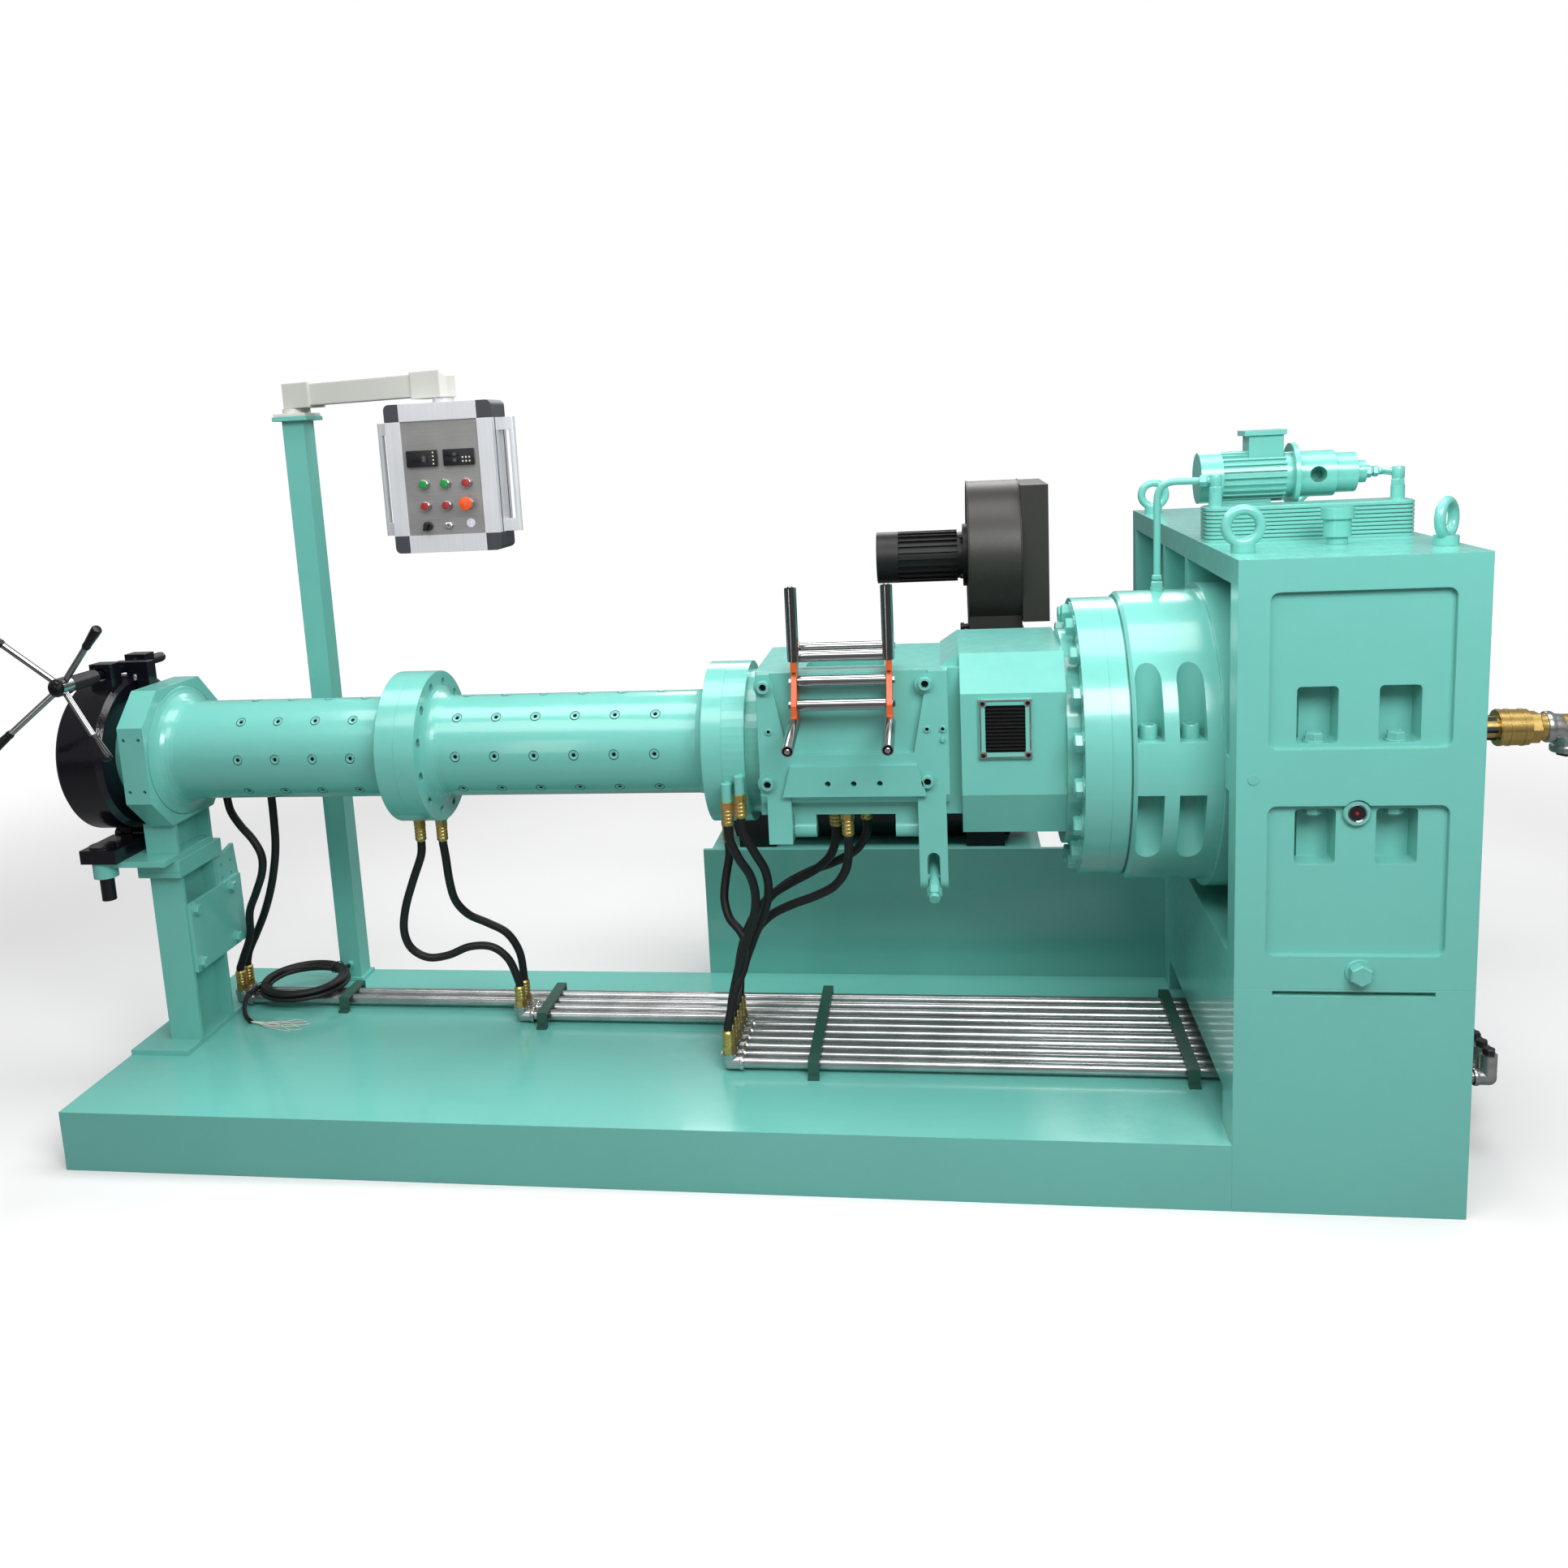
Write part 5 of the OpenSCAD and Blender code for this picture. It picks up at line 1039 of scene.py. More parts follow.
@dataclass
class ScrewLine:
    """Fasteners along the thrust housing, the barrel joint and the barrel's pins."""

    thrust_bolts: int = 18
    thrust_edge: float = 0.036
    thrust_head: tuple = (0.042, 0.019)
    joint_bolts: int = 12
    joint_r: float = 0.182
    joint_sunk: float = 0.024
    joint_head: tuple = (0.0115, 0.016)
    pocket_x: tuple = (0.087, 0.184)
    pocket_out: float = 0.322
    pocket_up: float = 0.065
    pocket_head: tuple = (0.021, 0.034)
    pin_starts: tuple = ((434, 4), (1076, 6))
    pin_pitch: int = 112
    pin_rows: int = 8
    pin_out: float = 0.1402

    # Near-black hex in each pin's head: painted shade of its socket hole.
    PIN_KEY_SHADE = ((0.0058, 0.0), (0.0058, 0.0008))
    PIN_RIM = ((0.0072, 0.0018), (0.0072, 0.0026), (0.0092, 0.0032), (0.0118, 0.0032), (0.0128, 0.0024),
               (0.0128, 0.0018))
    # Near-black ring round each pin's rim: painted shade of its seat.
    PIN_GROOVE_SHADE = ((0.0128, 0.0016), (0.0128, 0.0027), (0.0138, 0.0031), (0.0145, 0.0022), (0.0145, 0.0016))

    def dress(self) -> None:
        """Adds the rings of bolts and the pins' rims."""
        flange, drum = Station("thrust_flange"), Station("thrust_housing")
        middle = flange.middle
        radius = flange.size.z / 2.0 - self.thrust_edge
        with Forge("thrust_bolts", Skin.BOLT_PAINT) as forge:
            for k, angle in enumerate(angles(self.thrust_bolts, 0.5)):
                place = Vector((flange.low.x, middle.y + radius * math.cos(angle),
                                middle.z + radius * math.sin(angle)))
                forge.hex_bolt(*self.thrust_head, toward(place, Axis.LEFT, turn=0.3 + k))
        left, joint = Station("barrel_rear").low.x + self.joint_sunk, Station("barrel_front").middle
        with Forge("joint_cap_screws", Skin.BOLT_PAINT) as forge:
            for angle in angles(self.joint_bolts, 0.5):
                place = Vector((left, joint.y + self.joint_r * math.sin(angle),
                                SCREW_LINE[1] / 1000.0 + self.joint_r * math.cos(angle)))
                forge.socket_bolt(*self.joint_head, toward(place, Axis.RIGHT))
        with Forge("drum_pocket_bolts", Skin.BOLT_PAINT) as forge:
            for offset in self.pocket_x:
                for y in (-self.pocket_out, self.pocket_out):
                    place = Vector((flange.high.x + offset, drum.middle.y + y, middle.z + self.pocket_up))
                    forge.socket_bolt(*self.pocket_head, toward(place, Axis.UP))
        self._pins()

    def _pins(self) -> None:
        """Rims the barrel pins, with a near-black hex in each and a near-black ring round each rim: painted
        shade.
        """
        places = [start + self.pin_pitch * column for start, count in self.pin_starts
                  for column in range(count)]
        with Forge("pin_rims", Skin.BOLT_PAINT) as rims, Forge("pin_socket_shade", Skin.PAINTED_SHADE) as socket_shade:
            for x in places:
                for angle in angles(self.pin_rows):
                    out = Vector((0.0, -math.sin(angle), math.cos(angle)))
                    at = toward(spot((x, *SCREW_LINE)) + out * self.pin_out, out)
                    socket_shade.turned(self.PIN_KEY_SHADE, at, 6)
                    rims.turned(self.PIN_RIM, at, 22, True)
                    socket_shade.turned(self.PIN_GROOVE_SHADE, at, 22, True)


@dataclass
class FeedDoor:
    """Cap screws and roller ends on the door."""

    face: int = 250
    screws: tuple = ((1955, 1254), (2362, 1254), (1955, 1000), (2362, 1003))
    screw_r: float = 0.017
    screw_up: float = 0.014
    washer: int = 2
    washer_share: float = 1.5
    small_screws: tuple = ((1963, 1137), (2364, 1137), (2403, 1137))
    small_head: tuple = (0.0085, 0.005)
    grease_stud: tuple = (2403, 250, 1109)
    stud_head: tuple = (0.011, 0.007)
    roller_head: tuple = (0.016, 0.006)
    bearing_share: float = 0.82
    bearing_up: float = 0.0006
    axle_shares: tuple = (0.48, 0.4)
    axle_ups: tuple = (0.003, 0.004)
    guide_tilt: float = math.radians(11.0)

    # Near-black hex discs in the cap screws: painted shade of their socket holes.
    KEY_SHADE = ((0.0092, 0.0064), (0.0092, 0.0071))
    SMALL_KEY_SHADE = ((0.0046, 0.0024), (0.0046, 0.0030))

    def dress(self) -> None:
        """Adds the door's small pieces."""
        wide = self.screw_r * self.washer_share
        # The near-black discs on the door are painted shade in the screws' hex holes.
        with Forge("door_screw_socket_shade", Skin.PAINTED_SHADE, DOOR) as socket_shade, \
                Forge("door_cap_screws", Skin.BOLT_PAINT, DOOR) as screws:
            for x, z in self.screws:
                disc = ((wide, 0.0), (wide, self.washer / 1000.0))
                screws.turned(disc, seat((x, self.face, z), Axis.FRONT), 28)
                at = seat((x, self.face - self.washer, z), Axis.FRONT)
                screws.socket_bolt(self.screw_r, self.screw_up, at)
                socket_shade.turned(self.KEY_SHADE, at, 6)
            for x, z in self.small_screws:
                at = seat((x, self.face, z), Axis.FRONT)
                screws.socket_bolt(*self.small_head, at)
                socket_shade.turned(self.SMALL_KEY_SHADE, at, 6)
            screws.hex_bolt(*self.stud_head, seat(self.grease_stud, Axis.FRONT))
        frame = Station("roller_frame")
        with Forge("roller_end_screws", Skin.STEEL, DOOR) as forge:
            for i in range(1, 5):
                middle = Station(f"cross_roller_{i}").middle
                for x, direction in ((frame.low.x, Axis.LEFT), (frame.high.x, Axis.RIGHT)):
                    place = Vector((x, middle.y, middle.z))
                    forge.hex_bolt(*self.roller_head, toward(place, direction, turn=0.5 * i))
        for side in ("left", "right"):
            self._cap(f"upright_{side}", None)
            self._cap(f"guide_{side}", self.guide_tilt)

    def _cap(self, node: str, tilt: float | None) -> None:
        """Caps a roller's free end with a near-black disc, painted shade round its bearing, and the end of
        its axle.

        Args:
            node: The roller, which is also its body.
            tilt: How far its front end hangs, or None for an upright one.
        """
        roller = Station(node)
        radius = roller.size.x / 2.0
        x, y, z = roller.middle.x, roller.middle.y, roller.high.z
        direction = Vector(Axis.UP.value)
        if tilt is not None:
            y, z = roller.low.y + radius * math.sin(tilt), roller.low.z + radius * math.cos(tilt)
            direction = Vector((0.0, -math.cos(tilt), -math.sin(tilt)))
        end = toward(Vector((x, y, z)), direction)
        wide = radius * self.bearing_share
        shaft, tip = (radius * share for share in self.axle_shares)
        low, high = self.axle_ups
        # Near-black disc: painted shade on the roller's end.
        with Forge(f"{node}_bearing", Skin.PAINTED_SHADE, node) as forge:
            forge.turned(((wide, 0.0), (wide, self.bearing_up)), end, 28)
        with Forge(f"{node}_axle_end", Skin.STEEL, node) as forge:
            forge.turned(((shaft, 0.0), (shaft, low), (tip, high)), end, 24)


@dataclass
class GearCase:
    """Sight glass, plugs and pocket bolts of the gear case."""

    glass: tuple = (0.262, 0.014, 0.982)
    rim: tuple = (0.0195, 0.0022)
    rim_out: float = 0.0085
    mark: tuple = (0.007, 0.007, 0.001)
    mark_out: float = 0.0082
    mark_turn: float = 0.6
    plug: tuple = (3329, 0, 608)
    plug_head: tuple = (0.046, 0.024)
    stopper: tuple = (3093, 0, 1064)
    pocket_x: tuple = (3231, 3405)
    pocket_y: int = 40
    pocket_ends: tuple = ((1142, Axis.UP), (994, Axis.DOWN))
    pocket_head: tuple = (0.036, 0.018)

    GLASS_RING = ((0.030, 0.0), (0.030, 0.008), (0.027, 0.011), (0.021, 0.011), (0.019, 0.006))
    GLASS_LENS = ((0.0188, 0.005), (0.018, 0.0072), (0.0, 0.0078))
    STOPPER = ((0.012, 0.0), (0.012, 0.002))

    def dress(self) -> None:
        """Adds the small pieces on the case's faces."""
        case = Station("gear_case")
        x, y, z = self.glass
        out = toward(Vector((case.low.x + x, case.low.y + y, z)), Axis.FRONT)
        with Forge("sight_glass_ring", Skin.BOLT_PAINT) as forge:
            forge.turned(self.GLASS_RING, out)
        with Forge("sight_glass_rim", Skin.STEEL) as forge:
            forge.ring(*self.rim, out @ shift(0.0, 0.0, self.rim_out), 32)
        # The red mark and the dark lens both glow faintly: painted light.
        with Forge("sight_glass_mark", Skin.RED_GLOW) as forge:
            at = out @ shift(0.0, 0.0, self.mark_out) @ Matrix.Rotation(self.mark_turn, 4, "Z")
            forge.block(self.mark, at)
        with Forge("sight_glass_lens", Skin.DIGIT) as forge:
            forge.turned(self.GLASS_LENS, out, 28)
        with Forge("case_plugs", Skin.BOLT_PAINT) as forge:
            forge.hex_bolt(*self.plug_head, seat(self.plug, Axis.FRONT, turn=0.5))
            forge.turned(self.STOPPER, seat(self.stopper, Axis.FRONT), 20)
        with Forge("panel_pocket_bolts", Skin.BOLT_PAINT) as forge:
            for x in self.pocket_x:
                for z, direction in self.pocket_ends:
                    forge.hex_bolt(*self.pocket_head, seat((x, self.pocket_y, z), direction, turn=0.3))


@dataclass
class HeadGroup:
    """Bolts of the column's side plate and of the saddle on it."""

    plate_bolts: tuple = ((440, 585), (440, 420), (640, 585), (640, 420))
    plate_head: tuple = (0.03, 0.014)
    saddle_head: tuple = (0.024, 0.012)
    saddle_in: tuple = (0.012, 0.05)
    saddle_edge: float = 0.075
    saddle_up: float = 0.034
    saddle_share: float = 0.62

    def dress(self) -> None:
        """Adds the head's small pieces."""
        plate, column = Station("side_plate"), Station("column")
        with Forge("side_plate_bolts", Skin.BOLT_PAINT) as forge:
            for y, z in self.plate_bolts:
                place = spot((0, y, z))
                place.x = plate.high.x
                forge.hex_bolt(*self.plate_head, toward(place, Axis.RIGHT, turn=y))
        edge = self.saddle_edge
        near, far = self.saddle_in
        with Forge("saddle_bolts", Skin.BOLT_PAINT) as forge:
            for x in (near, column.size.x - far):
                for y in (edge, column.size.y - edge):
                    place = Vector((column.low.x + edge + x * self.saddle_share, column.low.y + y,
                                    column.high.z + self.saddle_up))
                    forge.hex_bolt(*self.saddle_head, toward(place, Axis.UP, turn=x * 40.0))


@dataclass
class ControlPanel:
    """Front of the control box: plate, meters, lamps, buttons and switches."""

    width: float = 0.320
    height: float = 0.425
    depth: float = 0.120
    face_in: float = 0.046
    corner_w: float = 0.044
    corner_h: float = 0.050
    corner_r: float = 0.016
    corner_cuts: int = 6
    sink: float = 0.006
    plate_t: float = 0.002
    plate_gap: float = 0.001
    columns: Triple = (-0.056, 0.008, 0.072)
    meter_x: tuple[float, float] = (-0.056, 0.054)
    meter_z: float = -0.156
    meter: tuple = (0.090, 0.047, 0.012)
    meter_ease: float = 0.002
    screen_t: float = 0.003
    screen_ease: float = 0.001
    screen_out: float = 0.0125
    key: tuple = (0.0045, 0.0045, 0.002)
    # From a meter's middle: width, height and place of its screens, first place and steps of its keys.
    left_screen: tuple = (0.046, 0.022, -0.004)
    right_screen: tuple = (0.042, 0.012, -0.018)
    right_levels: tuple = (0.009, -0.008)
    left_keys: tuple = (0.036, 0.016, 0.0105)
    right_keys: tuple = (0.014, -0.001, 0.010, 0.011)
    upper_z: float = -0.229
    middle_z: float = -0.291
    stop_z: float = -0.288
    lower_z: float = -0.349
    plug_up: float = 0.004
    handle: tuple = (0.008, 0.026, 0.016)
    handle_ease: float = 0.002
    handle_out: float = 0.020
    handle_turn: float = -0.5
    lever: tuple = ((0.0, 0.0, 0.008), (0.0, 0.007, 0.026))
    lever_r: float = 0.0030
    groove: tuple = (0.002, 0.005)
    groove_y: float = 0.036
    groove_sunk: float = 0.0002

    BUTTON_RING = ((0.0145, 0.0), (0.0145, 0.010), (0.0135, 0.015), (0.0120, 0.016), (0.0118, 0.008))
    BUTTON_LENS = ((0.0115, 0.008), (0.0115, 0.017), (0.0095, 0.0188), (0.0, 0.0192))
    STOP_COLLAR = ((0.0155, 0.0), (0.0155, 0.010), (0.012, 0.013), (0.012, 0.024))
    STOP_HEAD = ((0.015, 0.022), (0.0185, 0.026), (0.0195, 0.031), (0.0185, 0.037), (0.0175, 0.0385),
                 (0.0165, 0.0385), (0.012, 0.0405), (0.0, 0.042))
    SELECTOR = ((0.0135, 0.0), (0.0135, 0.010), (0.011, 0.013))
    TOGGLE = ((0.0105, 0.0), (0.0105, 0.006), (0.0075, 0.008), (0.0075, 0.012))
    BLANK = ((0.0130, 0.0), (0.0130, 0.0016), (0.0118, 0.0026), (0.0, 0.0028))

    def __post_init__(self) -> None:
        """Finds the box's frame: its top middle, with Z up and Y to the back."""
        box = Station("box_corners")
        self.frame = shift(box.middle.x, box.middle.y, box.high.z)

    def on_face(self, x: float, z: float, lift: float = 0.0) -> Matrix:
        """Makes the frame of a piece on the panel.

        Args:
            x: Place across, from the panel's middle.
            z: Place below the box's top, as a negative number.
            lift: How far it stands off the plate.

        Returns:
            A frame with Z out of the panel.
        """
        local = shift(x, -self.depth / 2.0 + self.sink - self.plate_t - lift, z)
        return self.frame @ local @ Matrix.Rotation(QUARTER_TURN, 4, "X")

    def dress(self) -> None:
        """Adds everything on the panel."""
        with Forge("panel_plate", Skin.PANEL, BOX) as plate:
            size = (self.width - 2.0 * self.face_in - self.plate_gap,
                    self.height - 2.0 * self.corner_h - self.plate_gap, self.plate_t)
            plate.block(size, self.on_face(0.0, -self.height / 2.0, -self.plate_t / 2.0))
        self._meters(self.meter_z)
        green, red = Skin.GREEN_LAMP, Skin.RED_GLOW
        self._row("upper", self.upper_z, (green, green, red))
        self._row("middle", self.middle_z, (red, red))
        stop = self.on_face(self.columns[2], self.stop_z)
        self._knob("stop_collar", Skin.PIPE, stop, self.STOP_COLLAR)
        # The stop button's faint glow is painted light.
        self._knob("stop_button", Skin.STOP, stop, self.STOP_HEAD, 36)
        self._switches(self.lower_z)
        self._corners()
        self._profile_lines()

    def _knob(self, name: str, skin: Skin, at: Matrix, profile: Profile, sides: int = 32) -> None:
        """Adds one turned piece on the panel."""
        with Forge(name, skin, BOX) as forge:
            forge.turned(profile, at, sides)

    def _meters(self, z: float) -> None:
        """Adds two digital meters.

        Args:
            z: Level of their middle below the box's top.
        """
        left, right = self.meter_x
        wide, high, x = self.left_screen
        screens = [(wide, high, left + x, z)]
        wide, high, x = self.right_screen
        screens += [(wide, high, right + x, z + up) for up in self.right_levels]
        x, up, down = self.left_keys
        keys = [(left + x, z + up - down * k) for k in range(4)]
        x, up, across, down = self.right_keys
        keys += [(right + x + across * (k % 3), z + up - down * (k // 3)) for k in range(6)]
        with Forge("meter_bezels", Skin.BLACK, BOX) as forge:
            for x in self.meter_x:
                forge.block(self.meter, self.on_face(x, z, self.meter[2] / 2.0), self.meter_ease)
        with Forge("meter_screens", Skin.DIGIT, BOX) as forge:
            for wide, high, x, level in screens:
                at = self.on_face(x, level, self.screen_out)
                forge.block((wide, high, self.screen_t), at, self.screen_ease)
        with Forge("meter_keys", Skin.WIRE, BOX) as forge:
            for x, level in keys:
                forge.block(self.key, self.on_face(x, level, self.screen_out), self.screen_ease)

    def _row(self, name: str, z: float, lenses: Sequence[Skin]) -> None:
        """Adds a row of lit push buttons.

        Args:
            name: Name of the row.
            z: Level below the box's top.
            lenses: Lens of each, from the left.
        """
        with Forge(f"button_rings_{name}", Skin.PIPE, BOX) as rings:
            for number, (x, skin) in enumerate(zip(self.columns, lenses), 1):
                face = self.on_face(x, z)
                rings.turned(self.BUTTON_RING, face)
                self._knob(f"button_{name}_{number}", skin, face, self.BUTTON_LENS)

    def _switches(self, z: float) -> None:
        """Adds the selector, the toggle and the blank plug of the lowest row.

        Args:
            z: Level below the box's top.
        """
        with Forge("selector_switch", Skin.BLACK, BOX) as forge:
            at = self.on_face(self.columns[0], z)
            forge.turned(self.SELECTOR, at, 28)
            turned = at @ shift(0.0, 0.0, self.handle_out) @ Matrix.Rotation(self.handle_turn, 4, "Z")
            forge.block(self.handle, turned, self.handle_ease)
        with Forge("toggle_switch", Skin.PIPE, BOX) as forge:
            at = self.on_face(self.columns[1], z)
            forge.turned(self.TOGGLE, at, 6)
            forge.tube([at @ Vector(end) for end in self.lever], self.lever_r, 10)
        at = self.on_face(self.columns[2], z + self.plug_up)
        # The blank plug's faint glow is painted light.
        self._knob("blank_plug", Skin.WHITE_GLOW, at, self.BLANK)

    def _corners(self) -> None:
        """Rounds the four corner blocks off at their outer edges."""
        turns = [QUARTER_TURN * k / self.corner_cuts for k in range(self.corner_cuts + 1)]
        outline = [(0.0, 0.0), (self.corner_w, 0.0)]
        outline += [(self.corner_w - self.corner_r * (1.0 - math.cos(a)),
                     self.corner_h - self.corner_r * (1.0 - math.sin(a))) for a in turns]
        outline.append((0.0, self.corner_h))
        with Forge("rounded_corners", Skin.CORNER, BOX) as forge:
            for side in (-1.0, 1.0):
                for up in (-1.0, 1.0):
                    shape = [(side * (self.width / 2.0 - self.corner_w + u),
                              up * (self.height / 2.0 - self.corner_h + v) - self.height / 2.0)
                             for u, v in outline]
                    forge.prism(shape, self.depth, self.frame)
        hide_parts("box_corners")

    def _profile_lines(self) -> None:
        """Adds the grooves of the frame's side profiles."""
        size = (*self.groove, self.height - 2.0 * self.corner_h)
        with Forge("frame_grooves", Skin.CORNER, BOX) as grooves:
            for side in (-1.0, 1.0):
                for y in (-self.groove_y, self.groove_y):
                    x = side * (self.width / 2.0 - self.groove_sunk)
                    grooves.block(size, self.frame @ shift(x, y, -self.height / 2.0))


@dataclass
class Services:
    """Pipe plugs, pipe collars and the window with its fins."""

    pipe_y: int = 324
    pipe_pitch: int = 46
    pipe_z: int = 194
    pipe_end: int = 3740
    plug_z: int = 256
    plug_head: tuple = (0.026, 0.016)
    elbow_z: int = 211
    collars_in: tuple = (30, 36)
    # Left end of each group of pipes, and how many it has.
    groups: tuple = ((1800, 6), (1120, 2), (165, 2))
    fins: int = 13
    fin: tuple = (0.0055, 0.0016)
    fin_out: float = 0.001
    fin_tilt: float = 0.5
    edge: tuple = (0.004, 0.002)
    edge_in: float = 0.004
    edge_out: float = 0.0006
    pad: tuple = (0.018, 0.003, 0.018)
    pad_out: float = 0.0008
    pad_ease: float = 0.001
    screw_in: float = 0.010
    screw_out: float = 0.002
    screw_head: tuple = (0.0055, 0.005)

    COLLAR = ((0.0165, 0.0), (0.0215, 0.0), (0.0225, 0.002), (0.0225, 0.009), (0.0215, 0.011),
              (0.0165, 0.011))
    ELBOW_NUT = ((0.0145, 0.0), (0.0225, 0.0), (0.0225, 0.010), (0.0145, 0.010))

    def dress(self) -> None:
        """Adds the pipe ends' small pieces."""
        starts = [start for start, count in self.groups for _ in range(count)]
        left, right = self.collars_in
        with Forge("pipe_collars", Skin.PIPE) as collars, Forge("pipe_plugs", Skin.BLACK) as plugs:
            for i, start in enumerate(starts):
                y = self.pipe_y + self.pipe_pitch * i
                at = seat((self.pipe_end, y, self.plug_z), Axis.UP, turn=0.2 * i)
                plugs.hex_bolt(*self.plug_head, at, False)
                for x in (start + left, self.pipe_end - right):
                    collars.turned(self.COLLAR, seat((x, y, self.pipe_z), Axis.RIGHT), 24, True)
                collars.turned(self.ELBOW_NUT, seat((start, y, self.elbow_z), Axis.UP), 24, True)
        self._window()

    def _window(self) -> None:
        """Sets the window's fins, its frame and the screws in its corners."""
        window, frame = Station("vent_mesh"), Station("vent_cover")
        with Forge("vent_fins", Skin.MOTOR) as fins:
            for k in range(1, self.fins):
                z = window.low.z + window.size.z * k / self.fins
                at = shift(window.middle.x, window.low.y - self.fin_out, z)
                fins.block((window.size.x, *self.fin), at @ Matrix.Rotation(self.fin_tilt, 4, "X"))
        low, high, middle = frame.low, frame.high, frame.middle
        wide, thick = self.edge
        front = low.y - self.edge_out
        with Forge("vent_screws", Skin.MOTOR) as screws, Forge("vent_frame_edges", Skin.PIPE) as edge:
            for x in (low.x + self.edge_in, high.x - self.edge_in):
                edge.block((wide, thick, frame.size.z), shift(x, front, middle.z))
            for z in (low.z + self.edge_in, high.z - self.edge_in):
                edge.block((frame.size.x, thick, wide), shift(middle.x, front, z))
            for x in (low.x + self.screw_in, high.x - self.screw_in):
                for z in (low.z + self.screw_in, high.z - self.screw_in):
                    edge.block(self.pad, shift(x, low.y - self.pad_out, z), self.pad_ease)
                    place = Vector((x, low.y - self.screw_out, z))
                    screws.socket_bolt(*self.screw_head, toward(place, Axis.FRONT))


@dataclass
class OilLines:
    """Bent oil pipes between the thrust housing, the cooler and the pump, with their nuts."""

    pipe_r: float = 0.009
    bends: tuple = (0.05, 0.016)
    pump_bends: tuple = (0.014, 0.014)
    bend_cuts: int = 8
    level_down: float = 0.015
    left_in: float = 0.014
    port_in: float = 0.030
    nut_heads: tuple = ((0.028, 0.016), (0.024, 0.012))
    nut_up: float = 0.020
    tee_head: tuple = (0.027, 0.018)
    tee_back: float = 0.036

    ELBOW = ((0.013, -0.015), (0.0145, -0.012), (0.0145, 0.012), (0.013, 0.015))

    def _bent(self, points: Sequence[Vector], bends: Sequence[float]) -> list[Vector]:
        """Rounds the corners of a route.

        Args:
            points: The route's corners and ends.
            bends: Bend of each corner.

        Returns:
            The rounded route.
        """
        route = [points[0]]
        for before, corner, after, bend in zip(points, points[1:], points[2:], bends):
            start = corner + (before - corner).normalized() * bend
            end = corner + (after - corner).normalized() * bend
            for k in range(self.bend_cuts + 1):
                s = k / self.bend_cuts
                route.append(start * (1 - s) ** 2 + corner * (2 * s * (1 - s)) + end * s ** 2)
        return [*route, points[-1]]

    def dress(self) -> None:
        """Sweeps both lines and sets their fittings."""
        lines, cooler, pump = Station("oil_lines"), Station("oil_cooler"), Station("gear_pump")
        level = lines.high.z - self.level_down
        left = Vector((lines.low.x + self.left_in, Station("thrust_flange").middle.y, lines.low.z))
        port, far = (Vector((x, cooler.middle.y, cooler.high.z))
                     for x in (cooler.low.x + self.port_in, cooler.high.x - self.port_in))
        nose = Vector((pump.high.x, pump.middle.y, level))
        first = [left, Vector((left.x, left.y, level)), Vector((port.x, port.y, level)), port]
        second = [nose, Vector((far.x, nose.y, level)), Vector((far.x, far.y, level)), far]
        run = (first[2] - first[1]).normalized()
        with Forge("bent_oil_lines", Skin.PAINT) as forge:
            for route, bends in ((first, self.bends), (second, self.pump_bends)):
                forge.tube(self._bent(route, bends), self.pipe_r, 14)
            for place, direction in ((left, Axis.UP), (port, Axis.UP), (far, Axis.UP), (nose, Axis.RIGHT)):
                at = toward(place, direction, turn=0.3)
                for k, head in enumerate(self.nut_heads):
                    forge.hex_bolt(*head, at @ shift(0.0, 0.0, k * self.nut_up), False)
            forge.hex_bolt(*self.tee_head, toward(first[2] - run * self.tee_back, run, turn=0.2), False)
            for route in (first, second):
                forge.turned(self.ELBOW, toward(route[2], Axis.UP), 20)
        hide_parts("oil_lines")


@dataclass
class WaterUnion:
    """Galvanised elbow and plug on the brass union, with the grooves of its body."""

    elbow_r: float = 0.0335
    elbow_x: tuple = (3905, 3962)
    elbow_bend: float = 0.030
    elbow_cuts: int = 8
    elbow_drop: float = 0.064
    plug_head: tuple = (0.044, 0.010)
    sleeve_x: int = 3621
    rings_x: tuple = (3792, 3812, 3846)
    nut_x: int = 3866
    nut_head: tuple = (0.074, 0.026)

    COLLAR = ((0.030, -0.002), (0.0385, 0.0), (0.040, 0.003), (0.040, 0.014), (0.0385, 0.017),
              (0.030, 0.019))
    SLEEVE = ((0.0335, 0.0), (0.0335, 0.166))
    RING = ((0.045, 0.0), (0.0475, 0.001), (0.0475, 0.008), (0.045, 0.009))

    def dress(self) -> None:
        """Adds the pieces round the union."""
        start, turn = (spot((x, *SCREW_LINE)) for x in self.elbow_x)
        foot = turn - Vector((0.0, 0.0, self.elbow_drop))
        bend = self.elbow_bend
        route = [start]
        for k in range(self.elbow_cuts + 1):
            angle = QUARTER_TURN * k / self.elbow_cuts
            route.append(turn + Vector((bend * math.sin(angle) - bend, 0.0, bend * math.cos(angle) - bend)))
        with Forge("union_elbow", Skin.PIPE) as forge:
            forge.tube([*route, foot], self.elbow_r, 20)
            for place, direction in ((start, Axis.RIGHT), (foot, Axis.UP)):
                forge.turned(self.COLLAR, toward(place, direction), 28, True)
        with Forge("union_plug", Skin.BLACK) as forge:
            forge.hex_bolt(*self.plug_head, toward(foot, Axis.DOWN), False)
        with Forge("union_shaft_sleeve", Skin.MOTOR) as forge:
            forge.turned(self.SLEEVE, seat((self.sleeve_x, *SCREW_LINE), Axis.RIGHT), 6)
        with Forge("union_rings", Skin.BRASS) as forge:
            for x in self.rings_x:
                forge.turned(self.RING, seat((x, *SCREW_LINE), Axis.RIGHT), 36, True)
            forge.hex_bolt(*self.nut_head, seat((self.nut_x, *SCREW_LINE), Axis.RIGHT), False)


